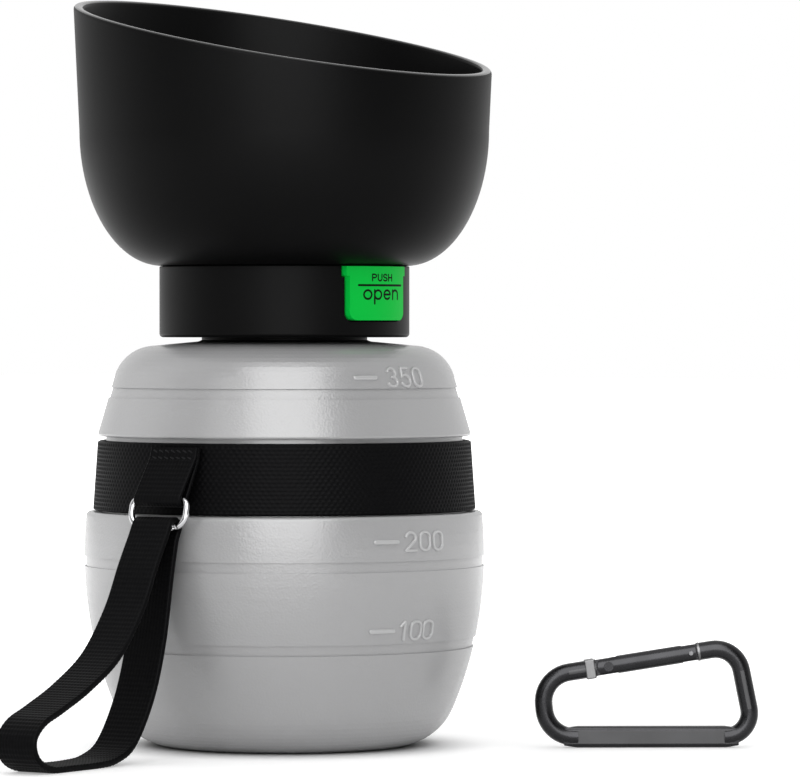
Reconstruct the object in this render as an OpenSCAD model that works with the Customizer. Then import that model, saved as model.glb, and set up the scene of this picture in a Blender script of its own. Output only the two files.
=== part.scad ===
// Travel water bottle for a dog. A soft silicone bottle is squeezed, and water
// rises through a push-button valve in the cap into a drinking bowl on top.
// The origin is the middle of the base. +Z is up, and the button faces -Y.
// All lengths are in millimetres and all angles in degrees.

/* [Bottle] */
// Largest outer radius of the bottle
body_r = 42.9; // [41:0.1:46]
// Height of the widest ring of the belly
belly_z = 41; // [36:0.5:44]
// Radius of the belly's side, seen from the front
belly_curve = 84; // [70:1:120]
// Radius that rounds the side into the base
base_round = 13; // [9:0.5:16]
// Height of the lower half, up to the ledge under the band
lower_h = 50.2; // [47:0.1:56]
// Height of the waist that the band fills
waist_h = 16.1; // [14:0.1:20]
// Height of the shoulder, from its rim to the neck
shoulder_h = 20.2; // [18:0.1:24]
// How far the waist lies inside the belly, at its lower end
waist_inset = 3.6; // [3.2:0.1:4.5]
// How far the waist narrows towards its upper end
waist_taper = 1.1; // [0.6:0.1:1.6]
// How far the shoulder's rim stands out of the waist
shoulder_lip = 1.9; // [1.5:0.1:2.4]
// Thickness of the silicone wall
wall = 2; // [1.4:0.1:2.6]
// Height of the lowest shallow ring
low_ring_z = 21.3; // [18:0.1:25]
// Height of the middle shallow ring
mid_ring_z = 38.6; // [34:0.1:42]
// Height of the top shallow ring above the band
top_ring_up = 8.2; // [6:0.1:9.5]
// Depth of the shallow rings round the bottle
ring_depth = 0.35; // [0.2:0.05:0.6]
// Width of the shallow rings round the bottle
ring_w = 2.2; // [1.4:0.1:3]

/* [Neck] */
// Outer radius of the hard neck ring
neck_r = 18.5; // [17:0.1:20]
// Wall of the neck ring
neck_wall = 2.5; // [1.8:0.1:3]
// Height of the neck above the shoulder
neck_h = 7; // [5:0.1:9]
// Width of the flange that anchors the neck under the shoulder
flange_w = 3.6; // [2.5:0.1:5]
// Thickness of that flange
flange_t = 2; // [1.2:0.1:3]

/* [Cap] */
// Outer radius of the cap
cap_r = 26.8; // [26.2:0.1:29]
// Height of the cap
cap_h = 15.2; // [14.6:0.1:17]
// Gap that shows between the shoulder and the cap
cap_gap = 0.9; // [0.6:0.1:1.6]
// Thickness of the cap's outer skirt
skirt_t = 2.2; // [1.8:0.1:2.6]
// Thickness of the cap's inner floor
web_t = 1.4; // [1:0.1:1.6]
// Thickness of the cover plate on top
cover_t = 1.6; // [1.2:0.1:1.8]
// Thickness of the flat gasket on the neck
gasket_t = 1.2; // [0.8:0.1:1.6]
// Wall of the collar that holds the thread
collar_t = 2.2; // [1.6:0.1:2.6]
// Outer radius of the valve chamber
chamber_r = 8.5; // [8.2:0.1:9.5]
// Wall of the valve chamber
chamber_t = 1.3; // [1:0.1:1.5]
// Depth of the valve chamber below the cap's inner floor
chamber_drop = 4.3; // [3:0.1:5.5]
// Number of water holes in the chamber's floor
water_holes = 6; // [4:1:8]
// Radius of each water hole
water_hole_r = 1.4; // [1:0.1:1.6]

/* [Valve] */
// Outer radius of the spout
spout_r = 6.3; // [6:0.1:7]
// Wall of the spout
spout_t = 1.5; // [1.2:0.1:1.8]
// Height of the spout above the cap
spout_h = 8.3; // [7:0.1:10]
// Radius of the valve stem
stem_r = 1.2; // [1:0.05:1.4]
// Height of the cone that the plunger lifts
cone_h = 2.2; // [1.8:0.1:2.3]
// Radius of the cone at its lower end
cone_r = 3; // [2.8:0.1:3.4]
// Radius of the valve head
head_r = 6.8; // [6.6:0.05:6.9]
// Thickness of the valve head
head_t = 1.6; // [1.3:0.1:2.2]
// Thickness of the seal under the valve head
seal_t = 0.9; // [0.6:0.1:1.2]
// Length of the valve spring
valve_spring_h = 8; // [6:0.1:10]
// Mean radius of the valve spring
valve_spring_r = 2.5; // [2.2:0.1:2.8]

/* [Button] */
// Width of the push button
button_w = 16.8; // [14:0.1:18]
// Height of the push button
button_h = 11.4; // [10.5:0.1:11.8]
// How far the button stands out of the cap
button_out = 1.1; // [0.6:0.1:2]
// How far the button travels inwards
travel = 2; // [1.5:0.1:2]
// Width of the small ear on each side of the button
ear_w = 0.7; // [0.4:0.1:1]
// Height of those ears
ear_h = 2; // [1.4:0.1:3]
// Radius of the plunger behind the button
plunger_r = 1.4; // [1.2:0.05:1.5]
// Mean radius of the button spring
button_spring_r = 2; // [1.9:0.05:2.05]

/* [Bowl] */
// Radius of the bowl where its side turns straight
bowl_r = 43.9; // [40:0.1:48]
// Radius of the flat under the bowl
bowl_foot_r = 26.3; // [24:0.1:28]
// Height over which the side curves up from the flat
bowl_curve_h = 29; // [24:0.5:34]
// How far the straight side leans out over the next 30 mm
bowl_lean = 1.4; // [0.6:0.1:2.4]
// Height of the rim above the cap, at the middle
rim_h = 49.1; // [46:0.1:56]
// Slope of the rim, which is low over the button
rim_tilt = 12; // [6:0.5:16]
// Thickness of the bowl's side
bowl_wall = 2.2; // [1.6:0.1:2.8]
// Thickness of the bowl's floor
bowl_floor = 2.4; // [2:0.1:3]
// Radius of the hole that passes over the valve
bowl_hole_r = 7.2; // [7.1:0.05:7.4]

/* [Strap] */
// Thickness of the woven band
band_t = 1.5; // [1:0.1:1.7]
// Height of the woven band
band_h = 15; // [13:0.1:15.5]
// Direction that the tab and the strap face
tab_angle = 188; // [150:1:220]
// Width of the tab that holds the ring
tab_w = 12; // [10:0.5:14]
// Thickness of the tab's webbing
tab_t = 1; // [0.8:0.1:1.2]
// Thickness of the ring's wire
wire_d = 1.36; // [1.2:0.02:1.6]
// How far the ring's bar stands off the band
bar_out = 4.3; // [3.9:0.1:5]
// Width of the wrist strap
strap_w = 10; // [8:0.5:10.5]
// Thickness of the wrist strap
strap_t = 1.2; // [0.9:0.1:1.4]

/* [Carabiner] */
// Length of the straight spine between its corners
spine_l = 44.2; // [40:0.1:50]
// Thickness of the carabiner's rod
rod_d = 3.8; // [3.4:0.1:4.2]
// Thickness of the spine, where the rod is pressed flat
spine_t = 2.8; // [2.4:0.1:3.2]
// Width of the spine, where the rod is pressed flat
spine_w = 4.6; // [4.4:0.1:5.2]
// Distance from the bottle's axis to the carabiner's near end
carabiner_x = 56; // [52:1:70]
// Distance of the carabiner towards the viewer
carabiner_y = 10; // [0:1:20]

/* [Fits] */
// Gap between a shaft and its bore
shaft_gap = 0.05; // [0.03:0.01:0.08]
// Gap between parts that are pressed or moulded together
fit_gap = 0.05; // [0.03:0.01:0.1]
// Gap under a part that rests on another
seat_gap = 0.1; // [0.05:0.01:0.15]
// Gap between parts that move past each other
move_gap = 0.3; // [0.25:0.01:0.32]

/* [Hidden] */
$fn = 72;

// Colours
silicone = [0.62, 0.62, 0.63];
shell = [0.1, 0.1, 0.1];
web_black = [0.05, 0.05, 0.05];
steel = [0.75, 0.75, 0.77];
green = [0.0, 0.72, 0.24];
seal_white = [0.85, 0.85, 0.83];
anodised = [0.16, 0.16, 0.17];

// A length past a face, so that a cut breaks cleanly through it
past = 1;

// Heights, from the base up
waist_top = lower_h + waist_h;
shoulder_top = waist_top + shoulder_h;
neck_top = shoulder_top + neck_h;
web_z = neck_top + gasket_t;
web_top = web_z + web_t;
cap_low = shoulder_top + cap_gap;
cap_top = cap_low + cap_h;
cover_z = cap_top - cover_t;
spout_top = cap_top + spout_h;

// Bottle
top_ring_z = waist_top + top_ring_up;
waist_low_r = body_r - waist_inset;
waist_high_r = waist_low_r - waist_taper;
rim_r = waist_high_r + shoulder_lip;
rim_slope = 0.29;
shoulder_round = 9;
shoulder_fall = 1.5;
belly_c = [body_r - belly_curve, belly_z];
fillet_c = [belly_c.x + sqrt(pow(belly_curve - base_round, 2) - pow(belly_z - base_round, 2)),
    base_round];
fillet_end = atan2(base_round - belly_z, fillet_c.x - belly_c.x);
ledge_round = 0.9;
belly_end = asin((lower_h - ledge_round - belly_z) / belly_curve);
rim_corner_z = shoulder_top - shoulder_fall;
rim_corner_r = rim_r - rim_slope * (rim_corner_z - waist_top);
neck_floor = shoulder_top - 1.25 * wall;
flange_r = neck_r + flange_w;
neck_in = neck_r - neck_wall;

// Cap
skirt_in = cap_r - skirt_t;
ledge_r = skirt_in - 0.7;
collar_in = neck_r + move_gap;
collar_r = collar_in + collar_t;
collar_low = cap_low + 1;
chamber_in = chamber_r - chamber_t;
chamber_low = web_z - chamber_drop;
chamber_floor = chamber_low + web_t;

// Button, plunger and cone
button_top = cap_top - 2 * seat_gap;
button_low = button_top - button_h;
button_round = 1.8;
button_r = cap_r + button_out;
head_back = skirt_in - 0.2;
wire_r = 0.25;
plunger_z = (web_top + cover_z) / 2;
flange_out = ledge_r - move_gap;
flange_back = flange_out - 3.3;
wing_x = button_w / 2 + 2;
wing_low = web_top + move_gap;
wing_high = cover_z - move_gap;
press_clear = head_back - travel - move_gap;
boss_r = (cover_z - web_top) / 2 - seat_gap;
rib_w = 1.6;
boss_end = 15;
washer_t = 0.5;
oring_t = 0.6;
oring_pocket = 1.2;
cone_low = plunger_z - (travel + cone_h) / 2;
cam_gap = 0.1;
tip_sum = cone_low - cone_r - cam_gap * sqrt(2);

// Valve
spout_in = spout_r - spout_t;
stem_guide_r = stem_r + shaft_gap;
hub_wall = 1.1;
hub_top = spout_top - 2;
hub_h = 2.5;
head_low = spout_top + seat_gap + seal_t;
sleeve_r = 2.3;
sleeve_h = 1.1;
head_top = head_low + head_t;
valve_wire_r = 0.3;
retainer_t = 0.8;
retainer_top = chamber_low - valve_spring_h;
retainer_r = valve_spring_r + 0.9;
stem_low = retainer_top - retainer_t - 0.8;

// Bowl
bowl_z = cap_top + seat_gap;
bowl_turn_z = bowl_z + bowl_curve_h;
lean_rate = bowl_lean / 30;
bowl_reach = rim_h + bowl_r * tan(rim_tilt) + 4;
bowl_boss_r = bowl_hole_r + 2.3;
bowl_boss_h = 2.5;
oring_z = bowl_z + bowl_floor / 2;
bowl_oring_r = 0.6;
bowl_oring_mid = bowl_hole_r - shaft_gap - bowl_oring_r;

// Band, tab and ring
band_low = lower_h + 0.2;
band_top = band_low + band_h;
ring_wire_r = wire_d / 2;
bar_z = lower_h + 3.7;
bar_r = waist_r(bar_z) + band_t + bar_out;
ring_half = tab_w / 2 + move_gap + ring_wire_r;
ring_h = 6.5;
ring_lean = 11.5;
bow_r = bar_r + ring_h * sin(ring_lean);
bow_z = bar_z - ring_h * cos(ring_lean);
tab_top = band_top - 0.7;
tab_root_r = waist_r(tab_top) + band_t + move_gap;
fold_r = ring_wire_r + move_gap;

// The strap's middle line, as distance beyond the ring's bow and share of its height
strap_route = [
    [2.6, 0.955], [6.6, 0.845], [11.4, 0.66], [19.2, 0.47], [29.2, 0.345],
    [38.2, 0.265], [44.2, 0.215], [47.3, 0.145], [46, 0.063], [41.2, 0.017],
    [34, 0.0135], [26, 0.014], [19.8, 0.028], [13.9, 0.09], [7.8, 0.28],
    [3.8, 0.516], [1.1, 0.8], [-0.5, 0.95]];
strap_fold_r = ring_wire_r + 2 * move_gap + strap_t / 2;
strap_steps = 5;

// Carabiner, drawn in its own plane with the spine along the first axis
rod_r = rod_d / 2;
spine_end = 6.5;
spine_run = 3;
spine_round = 0.9;
nose_in = 3.9;
nose_high = 19.4;
heel_out = 1.5;
heel_high = 12.8;
eye = [[0, 0], [spine_l, 0], [spine_l - nose_in, nose_high], [-heel_out, heel_high]];
eye_round = [6.3, 5, 5.6, 6.3];
gate_line = eye[2] - eye[3];
gate_turn = atan2(gate_line.y, gate_line.x);
gate_from = 12.3;
nose_back = 8.9;
gate_to = norm(gate_line) - nose_back;
gate_l = gate_to - gate_from;
hinge_at = 2.3;
heel_r = 1.7;
tongue_t = 1.2;
rivet_r = 0.6;
pin_r = 0.45;
pin_back = 1;
nose_reach = 2.6;
plunger_rod_r = 0.9;
plunger_l = 2;
gate_bore_r = 1.15;
gate_spring_l = 3.6;
view_turn = -47;

// Radius of the waist at a height
function waist_r(z) = waist_low_r - waist_taper * (z - lower_h) / waist_h;
// Radius of the belly at a height
function belly_r(z) = belly_c.x + sqrt(pow(belly_curve, 2) - pow(z - belly_z, 2));
// Radius of the shoulder's lower side at a height
function shoulder_r(z) = rim_r - rim_slope * (z - waist_top);
// Points on an arc
function arc(c, r, from, to, n) =
    [for (i = [0:n]) c + r * [cos(from + (to - from) * i / n), sin(from + (to - from) * i / n)]];
// The same points marked as sharp
function sharp(points) = [for (p = points) [p.x, p.y, 0]];
function unit(v) = v / norm(v);
// One corner of an outline, rounded
function corner(before, at, next, r) =
    let(
        u = unit(before - at),
        v = unit(next - at),
        half = acos(u * v) / 2,
        c = at + unit(u + v) * r / sin(half),
        a = at + u * r / tan(half) - c,
        b = at + v * r / tan(half) - c,
        from = atan2(a.y, a.x),
        swing = (atan2(b.y, b.x) - from + 540) % 360 - 180
    )
    arc(c, r, from, from + swing, max(3, ceil(abs(swing) / 8)));
function flat2(p) = [p.x, p.y];
// A closed outline from points that each carry a rounding radius
function rounded(points) =
    let(n = len(points))
    [for (i = [0:n - 1])
        each points[i][2] == 0
            ? [flat2(points[i])]
            : corner(flat2(points[(i + n - 1) % n]), flat2(points[i]),
                flat2(points[(i + 1) % n]), points[i][2])];
// A point on a smooth curve between b and c
function smooth(a, b, c, d, t) =
    0.5 * (2 * b + (c - a) * t + (2 * a - 5 * b + 4 * c - d) * t * t
        + (3 * b - a - 3 * c + d) * t * t * t);
// A smooth open curve through all points
function curve(p, steps) =
    let(n = len(p))
    [for (i = [0:n - 2], k = [0:steps - 1])
        smooth(p[max(i - 1, 0)], p[i], p[i + 1], p[min(i + 2, n - 1)], k / steps), p[n - 1]];
// The direction square to a closed path at one of its points
function side(path, i) =
    let(n = len(path), t = unit(path[(i + 1) % n] - path[(i + n - 1) % n]))
    [-t.y, t.x];
function shifted(path, by) = [for (i = [0:len(path) - 1]) path[i] + by * side(path, i)];

module lathe(points) {
    rotate_extrude()
        polygon(points);
}

// A shallow ring cut round the bottle, between two heights
module ring_cut(z, low_r, high_r) {
    lathe([[low_r - ring_depth, z], [low_r + past, z],
        [high_r + past, z + ring_w], [high_r - ring_depth, z + ring_w]]);
}

// A round rod along a flat path
module rod(path, r, sides, closed) {
    n = len(path);
    ends = closed ? n : n - 1;
    spots = [for (i = [0:n - 1], k = [0:sides - 1])
        let(
            before = closed ? path[(i + n - 1) % n] : path[max(i - 1, 0)],
            after = closed ? path[(i + 1) % n] : path[min(i + 1, n - 1)],
            t = unit(after - before),
            a = 360 * k / sides
        )
        [path[i].x - t.y * r * cos(a), path[i].y + t.x * r * cos(a), r * sin(a)]];
    skin = [for (i = [0:ends - 1], k = [0:sides - 1])
        let(
            m = (i + 1) % n,
            next = (k + 1) % sides
        )
        each [[i * sides + k, m * sides + k, m * sides + next],
            [i * sides + k, m * sides + next, i * sides + next]]];
    caps = closed ? [] : [[for (k = [0:sides - 1]) k],
        [for (k = [sides - 1:-1:0]) (n - 1) * sides + k]];
    polyhedron(spots, concat(skin, caps));
}

// A coil spring of round wire along Z
module coil(mean_r, wire, length, turns) {
    steps = 14;
    sides = 6;
    n = turns * steps;
    rise = length - 2 * wire;
    spots = [for (i = [0:n], k = [0:sides - 1])
        let(
            a = 360 * i / steps,
            b = 360 * k / sides,
            r = mean_r + wire * cos(b)
        )
        [r * cos(a), r * sin(a), wire + rise * i / n + wire * sin(b)]];
    skin = [for (i = [0:n - 1], k = [0:sides - 1])
        let(next = (k + 1) % sides)
        each [[i * sides + k, (i + 1) * sides + next, (i + 1) * sides + k],
            [i * sides + k, i * sides + next, (i + 1) * sides + next]]];
    caps = [[for (k = [sides - 1:-1:0]) k], [for (k = [0:sides - 1]) n * sides + k]];
    polyhedron(spots, concat(skin, caps));
}

// Lays a shape made along Z down towards the front, at the plunger's height
module to_front(start) {
    translate([0, -start, plunger_z])
        rotate([90, 0, 0])
            children();
}

// ---- Bottle ----

module bottle_body() {
    outside = rounded(concat(
        [[0, 0, 0]],
        sharp(arc(fillet_c, base_round, -90, fillet_end, 12)),
        sharp(arc(belly_c, belly_curve, fillet_end + 1, belly_end - 0.6, 16)),
        [[belly_r(lower_h), lower_h, ledge_round],
            [waist_low_r, lower_h, 0],
            [waist_high_r, waist_top, 0],
            [rim_r, waist_top, 0.5],
            [rim_corner_r, rim_corner_z, shoulder_round],
            [neck_r, shoulder_top, 0],
            [0, shoulder_top, 0]]));
    inside = rounded(concat(
        [[0, wall, 0]],
        sharp(arc(fillet_c, base_round - wall, -90, fillet_end, 10)),
        sharp(arc(belly_c, belly_curve - wall, fillet_end + 1, belly_end - 2, 14)),
        [[waist_low_r - wall, lower_h, 0],
            [waist_high_r - wall, waist_top, 0],
            [shoulder_r(waist_top + 6) - wall, waist_top + 6, 0],
            [rim_corner_r - wall, rim_corner_z - wall, shoulder_round - wall],
            [flange_r + 2, neck_floor, 0],
            [0, neck_floor, 0]]));
    color(silicone)
        difference() {
            lathe(outside);
            lathe(inside);
            translate([0, 0, neck_floor - past])
                cylinder(r = neck_r + fit_gap, h = shoulder_top - neck_floor + 2 * past);
            for (z = [low_ring_z, mid_ring_z])
                ring_cut(z, belly_r(z), belly_r(z + ring_w));
            ring_cut(top_ring_z, shoulder_r(top_ring_z), shoulder_r(top_ring_z + ring_w));
        }
}

module neck_ring() {
    color(shell)
        lathe(rounded([
            [neck_in, neck_floor - flange_t, 0],
            [flange_r, neck_floor - flange_t, 0.5],
            [flange_r, neck_floor, 0],
            [neck_r, neck_floor, 0],
            [neck_r, neck_top, 0.4],
            [neck_in, neck_top, 0.4]]));
}

// ---- Band, ring and strap ----

module waist_band() {
    color(web_black)
        lathe([
            [waist_r(band_low) + fit_gap, band_low],
            [waist_r(band_low) + band_t, band_low],
            [waist_r(band_top) + band_t, band_top],
            [waist_r(band_top) + fit_gap, band_top]]);
}

// Turns a shape drawn as distance from the axis and height into its place
module at_tab(width) {
    rotate([0, 0, tab_angle])
        rotate([90, 0, 0])
            linear_extrude(width, center = true)
                children();
}

module tab_side(inset) {
    hull() {
        translate([bar_r, bar_z])
            circle(r = fold_r + tab_t - inset, $fn = 32);
        translate([tab_root_r + tab_t, tab_top - tab_t])
            circle(r = tab_t - inset, $fn = 24);
    }
}

module dring_tab() {
    color(web_black)
        at_tab(tab_w) {
            difference() {
                tab_side(0);
                tab_side(tab_t * 0.98);
                translate([bar_r, bar_z])
                    circle(r = fold_r);
            }
            translate([tab_root_r, tab_top - 3])
                square([tab_t, 3]);
        }
}

module d_ring() {
    path = rounded([
        [-ring_half, 0, 1.8], [ring_half, 0, 1.8],
        [ring_half, 1.3 - ring_h, 3], [0, -ring_h - 0.65, 18],
        [-ring_half, 1.3 - ring_h, 3]]);
    color(steel)
        rotate([0, 0, tab_angle])
            translate([bar_r, 0, bar_z])
                rotate([0, -ring_lean, 0])
                    rotate([90, 0, 90])
                        rod(path, ring_wire_r, 10, true);
}

module wrist_strap() {
    legs = curve([for (p = strap_route) [bow_r + p.x, bow_z * p.y]], strap_steps);
    fold = arc([bow_r, bow_z + move_gap], strap_fold_r, 175, 15, 10);
    middle = concat(fold, legs);
    color(web_black)
        at_tab(strap_w)
            difference() {
                polygon(shifted(middle, strap_t / 2));
                polygon(shifted(middle, -strap_t / 2));
            }
}

// ---- Cap ----

// The button's outline seen from the front, grown by a gap
module button_face(gap) {
    half = button_w / 2 + gap;
    foot = button_low - gap;
    polygon(rounded([
        [-half, foot, button_round], [half, foot, button_round],
        [half, button_top - ear_h - gap, 0], [half + ear_w, button_top - ear_h - gap, 0],
        [half + ear_w, button_top + gap, 0], [-half - ear_w, button_top + gap, 0],
        [-half - ear_w, button_top - ear_h - gap, 0], [-half, button_top - ear_h - gap, 0]]));
}

module button_prism(gap, depth) {
    rotate([90, 0, 0])
        linear_extrude(depth)
            button_face(gap);
}

// Room behind the window for the button when it is pressed
module button_pocket() {
    half = button_w / 2 + ear_w + move_gap;
    intersection() {
        cylinder(r = skirt_in, h = 2 * cap_top);
        translate([-half, -cap_r, button_low - move_gap])
            cube([2 * half, cap_r - press_clear, button_h + cap_h]);
    }
}

module cap_gasket() {
    color(seal_white)
        lathe([
            [neck_in, neck_top + fit_gap], [neck_r - 0.2, neck_top + fit_gap],
            [neck_r - 0.2, web_z - fit_gap], [neck_in, web_z - fit_gap]]);
}

module cap_body() {
    color(shell)
        difference() {
            union() {
                lathe(rounded([
                    [0, chamber_low, 0], [chamber_r, chamber_low, 0.6],
                    [chamber_r, web_z, 0], [collar_in, web_z, 0],
                    [collar_in, collar_low, 0], [collar_r, collar_low, 0.4],
                    [collar_r, web_z, 0], [skirt_in, web_z, 0],
                    [skirt_in, cap_low, 0.3], [cap_r, cap_low, 0.8],
                    [cap_r, cap_top, 0.3], [skirt_in, cap_top, 0],
                    [skirt_in, cover_z, 0], [ledge_r, cover_z, 0],
                    [ledge_r, web_top, 0], [chamber_r, web_top, 0],
                    [chamber_r, cover_z, 0], [chamber_in, cover_z, 0],
                    [chamber_in, chamber_floor, 0], [0, chamber_floor, 0]]));
                to_front(chamber_in + chamber_t / 2)
                    cylinder(r = boss_r, h = boss_end - chamber_in - chamber_t / 2);
                translate([-rib_w / 2, -boss_end, web_z + web_t / 2])
                    cube([rib_w, boss_end - chamber_in - chamber_t / 2, web_t / 2 + boss_r]);
            }
            translate([0, 1 - skirt_in + past, 0])
                button_prism(move_gap, 2 * cap_r);
            button_pocket();
            to_front(0)
                cylinder(r = plunger_r + shaft_gap, h = boss_end + past);
            to_front(boss_end - oring_pocket)
                cylinder(r = plunger_r + shaft_gap + oring_t + fit_gap, h = oring_pocket + past);
            translate([0, 0, chamber_low - past])
                cylinder(r = stem_guide_r, h = web_t + 2 * past);
            for (i = [0:water_holes - 1])
                rotate([0, 0, (i + 0.5) * 360 / water_holes])
                    translate([(chamber_in + stem_guide_r) / 2, 0, chamber_low - past])
                        cylinder(r = water_hole_r, h = web_t + 2 * past);
        }
}

module cap_cover() {
    groove_in = bowl_oring_mid - bowl_oring_r - fit_gap;
    groove_half = bowl_oring_r + fit_gap;
    color(shell)
        difference() {
            union() {
                lathe([
                    [spout_in, cover_z + fit_gap], [skirt_in - fit_gap, cover_z + fit_gap],
                    [skirt_in - fit_gap, cap_top], [spout_r, cap_top],
                    [spout_r, oring_z - groove_half], [groove_in, oring_z - groove_half],
                    [groove_in, oring_z + groove_half], [spout_r, oring_z + groove_half],
                    [spout_r, spout_top], [spout_in, spout_top]]);
                translate([0, 0, hub_top - hub_h])
                    cylinder(r = stem_guide_r + hub_wall, h = hub_h);
                for (i = [0:2])
                    rotate([0, 0, 30 + 120 * i])
                        translate([0, -hub_wall / 2, hub_top - hub_h])
                            cube([spout_r - spout_t / 2, hub_wall, hub_h]);
            }
            translate([0, 0, hub_top - hub_h - past])
                cylinder(r = stem_guide_r, h = hub_h + 2 * past);
            button_pocket();
        }
}

module gland_washer() {
    color(steel)
        to_front(boss_end + fit_gap)
            difference() {
                cylinder(r = boss_r - move_gap, h = washer_t);
                translate([0, 0, -past])
                    cylinder(r = plunger_r + 2 * shaft_gap, h = washer_t + 2 * past);
            }
}

module ring_seal(mid_r, r) {
    rotate_extrude()
        translate([mid_r, 0])
            circle(r = r, $fn = 24);
}

module plunger_seal() {
    color(seal_white)
        to_front(boss_end - oring_t / 2 - fit_gap)
            ring_seal(plunger_r + shaft_gap + oring_t / 2, oring_t / 2);
}

module bowl_seal() {
    color(seal_white)
        translate([0, 0, oring_z])
            ring_seal(bowl_oring_mid, bowl_oring_r);
}

// ---- Valve ----

module valve_stem() {
    color(shell)
        lathe([
            [0, stem_low], [stem_r, stem_low], [stem_r, cone_low],
            [cone_r, cone_low], [cone_r + cone_h, cone_low + cone_h],
            [stem_r, cone_low + cone_h], [stem_r, head_top - 0.7], [0, head_top - 0.7]]);
}

module valve_head() {
    color(shell)
        lathe(rounded([
            [stem_r + fit_gap, head_low - sleeve_h, 0], [sleeve_r, head_low - sleeve_h, 0],
            [sleeve_r, head_low, 0], [head_r, head_low, 0.3],
            [head_r, head_top, 0.5], [head_r - 1.2, head_top, 0],
            [head_r - 1.6, head_top - 0.3, 0],
            [0, head_top - 0.3, 0], [0, head_top - 0.7 + fit_gap, 0],
            [stem_r + fit_gap, head_top - 0.7 + fit_gap, 0]]));
}

module head_seal() {
    color(seal_white)
        lathe([
            [sleeve_r + fit_gap, spout_top + seat_gap], [spout_r + 0.1, spout_top + seat_gap],
            [spout_r + 0.1, head_low], [sleeve_r + fit_gap, head_low]]);
}

module spring_retainer() {
    color(steel)
        lathe([
            [stem_r + fit_gap, retainer_top - retainer_t], [retainer_r, retainer_top - retainer_t],
            [retainer_r, retainer_top], [stem_r + fit_gap, retainer_top]]);
}

module valve_spring() {
    color(steel)
        translate([0, 0, retainer_top + fit_gap])
            coil(valve_spring_r, valve_wire_r, valve_spring_h - 2 * fit_gap, 5);
}

// ---- Button ----

module push_button() {
    color(green)
        difference() {
            union() {
                intersection() {
                    cylinder(r = button_r, h = 2 * cap_top);
                    translate([0, -head_back, 0])
                        button_prism(0, cap_r);
                }
                intersection() {
                    translate([0, 0, wing_low])
                        cylinder(r = flange_out, h = wing_high - wing_low);
                    translate([-wing_x, -cap_r, wing_low])
                        cube([2 * wing_x, cap_r - flange_back, wing_high - wing_low]);
                }
                translate([1 - button_w / 2, -head_back - past, wing_low])
                    cube([button_w - 2, head_back - flange_back, wing_high - wing_low]);
                to_front(0)
                    cylinder(r = plunger_r, h = flange_back + past);
            }
            // The tip is cut at 45 degrees, so that it slides under the cone
            translate([0, tip_sum - plunger_z, plunger_z])
                rotate([45, 0, 0])
                    translate([-past * 3, 0, -2 * cap_r])
                        cube([past * 6, 2 * cap_r, 4 * cap_r]);
        }
}

module button_spring() {
    start = boss_end + washer_t + 2 * fit_gap;
    color(steel)
        to_front(start)
            coil(button_spring_r, wire_r, flange_back - start - fit_gap, 4);
}

// ---- Bowl ----

// One side of the bowl as a rising curve and a leaning wall
function bowl_side(inset, floor_up) =
    let(
        reach = bowl_r - bowl_foot_r - inset,
        height = bowl_curve_h - floor_up,
        n = 16
    )
    concat(
        [for (i = [0:n])
            let(a = 90 * i / n)
            [bowl_foot_r + reach * sin(a), bowl_turn_z - height * cos(a)]],
        [[bowl_r - inset + lean_rate * (bowl_reach - bowl_curve_h), bowl_z + bowl_reach]]);

module bowl() {
    color(shell)
        difference() {
            union() {
                difference() {
                    lathe(concat([[0, bowl_z]], bowl_side(0, 0), [[0, bowl_z + bowl_reach]]));
                    lathe(concat([[0, bowl_z + bowl_floor]], bowl_side(bowl_wall, bowl_floor),
                        [[0, bowl_z + bowl_reach]]));
                }
                translate([0, 0, bowl_z])
                    cylinder(r = bowl_boss_r, h = bowl_floor + bowl_boss_h);
            }
            translate([0, 0, bowl_z - past])
                cylinder(r = bowl_hole_r, h = bowl_floor + bowl_boss_h + 2 * past);
            translate([0, 0, cap_top + rim_h])
                rotate([rim_tilt, 0, 0])
                    translate([-2 * bowl_r, -2 * bowl_r, 0])
                        cube([4 * bowl_r, 4 * bowl_r, 2 * bowl_r]);
        }
}

// ---- Carabiner ----

// Stands the carabiner on its spine beside the bottle
module beside_bottle() {
    rotate([0, 0, view_turn])
        translate([carabiner_x, -carabiner_y, spine_w / 2])
            rotate([90, 0, 0])
                children();
}

// Along the gate, from the lower end of its line
module along_gate(distance) {
    translate(eye[3])
        rotate([0, 0, gate_turn])
            translate([distance, 0, 0])
                children();
}

function gate_point(distance) = eye[3] + distance * unit(gate_line);

module cross_pin(r, length) {
    translate([0, 0, -length / 2])
        cylinder(r = r, h = length);
}

// The flat bar that the rod becomes along its spine, with tapered ends
module pressed_spine() {
    near = spine_end - spine_run;
    far = spine_l - near;
    wide = spine_w / 2;
    tip = rod_r - seat_gap;
    thick = spine_t / 2;
    intersection() {
        linear_extrude(spine_t, center = true)
            polygon([[near, tip], [near, -tip], [spine_end, -wide], [spine_l - spine_end, -wide],
                [far, -tip], [far, tip], [spine_l - spine_end, wide], [spine_end, wide]]);
        rotate([0, 90, 0])
            linear_extrude(spine_l)
                polygon(rounded([[-thick, -wide, spine_round], [thick, -wide, spine_round],
                    [thick, wide, spine_round], [-thick, wide, spine_round]]));
    }
}

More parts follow.
